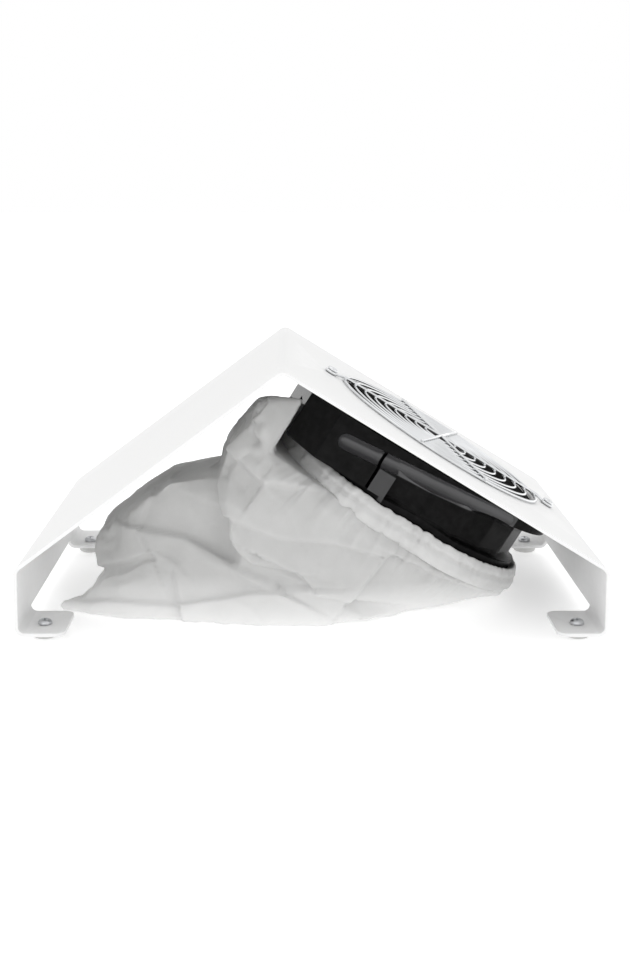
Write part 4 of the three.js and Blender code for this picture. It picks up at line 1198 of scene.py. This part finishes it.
# %% Stretch the pillows over their points
# The points of each pillow in millimetres.
PILLOWS = {
    "hump": [
        (-3, -57, 132), (-27, -54, 128), (-47, -56, 97), (-52, -62, 78), (-48, -67, 60),
        (-46, -68, 46), (-36, -69, 34), (-12, -70, 29), (8, -71, 17), (26, -72, 15), (46, -74, 47),
        (20, -74, 74), (-12, -62, 100), (-4, 36, 117), (-31, 34, 114), (-52, 40, 88),
        (-49, 66, 58), (-12, 70, 29), (46, 74, 47), (20, 74, 70), (-40, 50, 1), (-40, -50, 1),
        (20, -60, 1), (20, 60, 1),
    ],
    "back": [
        (-44, -44, 85), (-84, -44, 78), (-107, -42, 60), (-126, -32, 46), (-130, -32, 36),
        (-121, -40, 12), (-44, 44, 76), (-84, 44, 70), (-107, 42, 54), (-126, 32, 43),
        (-130, 32, 36), (-121, 40, 12), (-116, -46, 1), (-116, 46, 1), (-50, -50, 64),
        (-50, 50, 60), (-40, -56, 1), (-40, 56, 1),
    ],
    "left_lobe": [
        (-123, -48, 25), (-96, -52, 34), (-80, -56, 29), (-134, -44, 12), (-139, -46, 5),
        (-128, -57, 3), (-78, -62, 8), (-110, -10, 30), (-84, -8, 36), (-120, 10, 20),
        (-130, 0, 4), (-80, 10, 4),
    ],
    "far_lobe": [
        (-118, 52, 22), (-92, 60, 30), (-70, 66, 24), (-130, 46, 8), (-124, 58, 1), (-74, 70, 2),
        (-30, 72, 6), (-30, 68, 26), (-84, 10, 20), (-80, 10, 2),
    ],
    "ridge": [
        (-101, -32, 50), (-86, -42, 50), (-75, -48, 46), (-51, -56, 35), (-22, -63, 21),
        (-76, -60, 8), (-40, -65, 10), (-100, -20, 20), (-40, -20, 30),
    ],
    "left_edge": [
        (-149, -48, 1), (-148, -46, 4), (-122, -52, 9), (-100, -56, 9), (-76, -59, 8),
        (-60, -62, 8), (-60, -70, 1), (-114, -63, 1), (-120, -20, 2), (-60, -20, 8),
    ],
    "front_edge": [
        (-80, -58, 8), (-37, -61, 17), (0, -63, 21), (28, -62, 18), (-37, -74, 1), (0, -76, 1),
        (30, -74, 1), (57, -56, 1), (-60, -70, 1), (40, -20, 10), (-60, -20, 8),
    ],
    "throat": [
        (x, side * y, z)
        for ring in (
            [(-8, 30, 92), (22, 78, 72), (56, 79, 51), (90, 72, 30), (112, 52, 17), (125, 20, 9)],
            [(24, 73, 17), (57, 66, 15), (94, 52, 10), (116, 30, 6), (57, 49, 1), (94, 23, 1)],
        )
        for side in (-1, 1)
        for x, y, z in ring
    ] + [(114, 0, 1)],
}
pillows = []
for name, points in PILLOWS.items():
    draw_line(name, points)
    everything()
    bpy.ops.mesh.convex_hull()
    object_mode()
    pillows.append(bpy.context.object)
bag = place_piece(joined(pillows, "cloth_bag"))
bag.data.remesh_voxel_size = 0.0028
bpy.ops.object.voxel_remesh()
edit_mode()
everything()
bpy.ops.mesh.vertices_smooth(factor=0.5, repeat=5)
object_mode()
print("skin of the bag:", len(bag.data.vertices), "points")

# %% Take out the fan's room
# The room is the hem's outline and the housing with air round them, in the fan's millimetres.
ROOM_RADIUS, ROOM_HALF = 87.0, 83.3  # round part, and where its sides are cut flat
ROOM_END, ROOM_SIDE = -91.8, 76.8  # square part round the housing
ROOM_FLOOR = -51.5
ABOVE = 60  # well over the slope

fan_room = round_tool("fan_room", ROOM_RADIUS, ROOM_FLOOR, ABOVE, sides=96)
room_sides = block("room_sides", (-120, 120), (-ROOM_HALF, ROOM_HALF), (-52, 61))
shape_with(fan_room, room_sides, "INTERSECT")
housing_room = block(
    "housing_room", (ROOM_END, -30), (-ROOM_SIDE, ROOM_SIDE), (ROOM_FLOOR, ABOVE)
)
unite(fan_room, housing_room)
unite(fan_room, block("terminal_room", (-98.5, -88), (-39, -11), (-34, ABOVE)))
cut(bag, place_piece(fan_room, FAN_PLACE))
only(bag)
bpy.ops.object.voxel_remesh()
print("after the fan's room:", len(bag.data.vertices), "points")

for point in bag.data.vertices:
    point.co = keep_in(point.co)


FREE_FROM = 9.0  # millimetres


def freedom(point):
    """0 on the fan's room and 1 from FREE_FROM away, so cloth by the fan stays where it was cut."""
    u, v, w = TO_FAN @ point * 1000
    below = max(0.0, ROOM_FLOOR - w)
    beside = max(0.0, math.hypot(u, v) - ROOM_RADIUS, abs(v) - ROOM_HALF)
    beyond = max(0.0, ROOM_END - u, abs(v) - ROOM_SIDE)
    return min(1.0, min(math.hypot(below, beside), math.hypot(below, beyond)) / FREE_FROM)


# %% Let the spare cloth buckle
def slack_cloth(piece, spare, pressure, frames, cap):
    """Runs Cloth with spare fabric and air inside, without gravity; no point moves beyond cap."""
    before = [point.co.copy() for point in piece.data.vertices]
    only(piece)
    bpy.ops.object.modifier_add(type="CLOTH")
    fabric = piece.modifiers[-1]
    fabric.settings.quality = 5
    fabric.settings.mass = 0.15
    fabric.settings.tension_stiffness = 12
    fabric.settings.compression_stiffness = 12
    fabric.settings.shear_stiffness = 4
    fabric.settings.bending_stiffness = 0.25
    fabric.settings.shrink_min = -spare
    fabric.settings.use_pressure = True
    fabric.settings.uniform_pressure_force = pressure
    fabric.settings.effector_weights.gravity = 0
    fabric.collision_settings.use_collision = False
    for clock in (bpy.context.scene, fabric.point_cache):
        clock.frame_start = 1
        clock.frame_end = frames
    for step in range(1, frames + 1):
        bpy.context.scene.frame_set(step)
    bpy.ops.object.modifier_apply(modifier=fabric.name)
    bpy.context.scene.frame_set(1)
    farthest = 0.0
    for point, start in zip(piece.data.vertices, before):
        move = point.co - start
        farthest = max(farthest, move.length)
        if move.length > cap:
            move = move.normalized() * cap
        point.co = keep_in(start + move * freedom(start))
    print("cloth moved at most", round(farthest * 1000, 1), "mm")


slack_cloth(bag, spare=0.06, pressure=1.0, frames=20, cap=0.0035)

# %% Press in the long folds
# Where slack cloth laps over itself, one side stands proud of the other. Each lap is a line of
# points in millimetres on the front of the bag. The cloth on the left of the line, seen along it,
# stands up by the lap's height and sinks away over the first width; on the right it lies lower,
# over the second width.
LAPS = [
    (
        [(-34, 118), (-50, 98), (-55, 78), (-50, 61), (-48, 46), (-36, 35), (-14, 32)],
        2.6, 12.0, 9.0,
    ),
    ([(-28, 40), (-8, 30), (4, 19), (26, 15)], 3.0, 14.0, 7.0),
    ([(-22, 21), (-51, 35), (-75, 47), (-101, 50)], 3.2, 14.0, 14.0),
    ([(-126, 24), (-96, 35), (-82, 28), (-78, 10)], 3.0, 9.0, 18.0),
    ([(1, 21), (-37, 17), (-76, 9), (-122, 10), (-147, 5)], 3.2, 12.0, 6.0),
    ([(24, 16), (48, 47)], 2.8, 14.0, 10.0),
    ([(56, 40), (80, 27), (104, 15)], 3.0, 12.0, 8.0),
    ([(-44, 96), (-30, 84), (-8, 82)], 2.4, 9.0, 9.0),
    ([(-46, 62), (-20, 52), (14, 50), (40, 44)], 2.2, 16.0, 12.0),
    ([(-30, 108), (-22, 92), (-34, 74)], 1.8, 6.0, 8.0),
    ([(-98, 40), (-104, 52), (-96, 72)], 1.4, 12.0, 12.0),
]


LAP_EDGE = 0.9  # how sharply a lap steps, in millimetres
FRONT_FROM, FRONT_FADE = -14, 24  # laps fade in over 24 mm in front of y = -14


def place_on(line, x, z):
    """Distance in the XZ plane from a point to a chain of points, below 0 on its right side."""
    nearest, side = 1e9, 1
    spot = Vector((x, z))
    for a, b in zip(line, line[1:]):
        a, b = Vector(a), Vector(b)
        run = b - a
        along = max(0.0, min(1.0, (spot - a).dot(run) / run.length_squared))
        gap = spot - a - run * along
        if gap.length < nearest:
            nearest, side = gap.length, math.copysign(1, run.x * gap.y - run.y * gap.x)
    return nearest * side


def press_laps(piece):
    """Moves front points along their normals by the laps, and every point by slow rumples."""
    normals = [point.normal.copy() for point in piece.data.vertices]
    for point, normal in zip(piece.data.vertices, normals):
        x, y, z = point.co * 1000
        front = max(0.0, min(1.0, (FRONT_FROM - y) / FRONT_FADE))
        lift = 0.0
        if front:
            for line, height, proud_width, low_width in LAPS:
                gap = place_on(line, x, z)
                width = proud_width if gap > 0 else low_width
                step = math.copysign(1 - math.exp(-abs(gap) / LAP_EDGE), gap)
                lift += front * height * step * math.exp(-abs(gap) / width)
        rumple = noise.noise(Vector((x, y * 0.8, z * 0.6)) * 0.045)
        ridge = 1 - abs(noise.noise(Vector((x + 0.6 * z, y, z)) * 0.032)) * 2
        lift += 1.0 * rumple + 0.9 * max(0.0, ridge) ** 3
        point.co = keep_in(point.co + normal * lift * freedom(point.co) / 1000)


modified(bag, "SUBSURF", levels=1, render_levels=1)
press_laps(bag)
print("bag now has", len(bag.data.polygons), "faces")

# %% Gather the cloth at the hem and fit the bag out
for point in bag.data.vertices:
    local = TO_FAN @ point.co * 1000
    if local.z > -49 or math.hypot(local.x, local.y) < 40:
        continue
    turn = math.atan2(local.y, local.x)
    fade = math.exp(-((ROOM_FLOOR - local.z) / 20) ** 2) if local.z < ROOM_FLOOR else 1.0
    wander = noise.noise(Vector((turn * 3, 0, 0)))
    pleat = 0.7 * gather(turn, 0.0) + 1.3 * (0.5 + wander) * math.sin(turn * 46 + 4 * wander)
    away = Vector((math.cos(turn), math.sin(turn), 0))
    local += away * pleat * fade
    point.co = keep_in(FAN_PLACE @ (local / 1000))
only(bag)
bpy.ops.object.shade_smooth()
fit_out(bag, BAG_CLOTH, "bag_cloth", "stand", "dust_bag")

# %% [markdown]
# ## Finishes of the measured parts
#
# Small parts inside the hub and under the slope are already right in shape. They keep their
# measured meshes, and each gets the finish of what it is made of.

# %% Give the measured nodes their finishes
NODE_FINISHES = {
    GASKET_FOAM: ["fan_gasket"],
    LAMINATIONS: ["stator_core"],
    COPPER: ["winding_front", "winding_rear"],
    BRONZE: ["bearing_front", "bearing_rear"],
    STEEL: ["shaft", "rotor_cup", "circlip"],
    TIN: ["terminal_live", "terminal_neutral"],
    TERMINAL_PLASTIC: ["terminal_block"],
    ZINC: ["guard_washer_upper", "guard_nut_upper", "guard_washer_lower", "guard_nut_lower"]
    + ["foot_nut_" + name for name in FEET],
}
for material, names in NODE_FINISHES.items():
    for name in names:
        node = frame["nodes"][name]
        node.data.materials.clear()
        node.data.materials.append(material)
print(sum(len(names) for names in NODE_FINISHES.values()), "measured nodes finished")
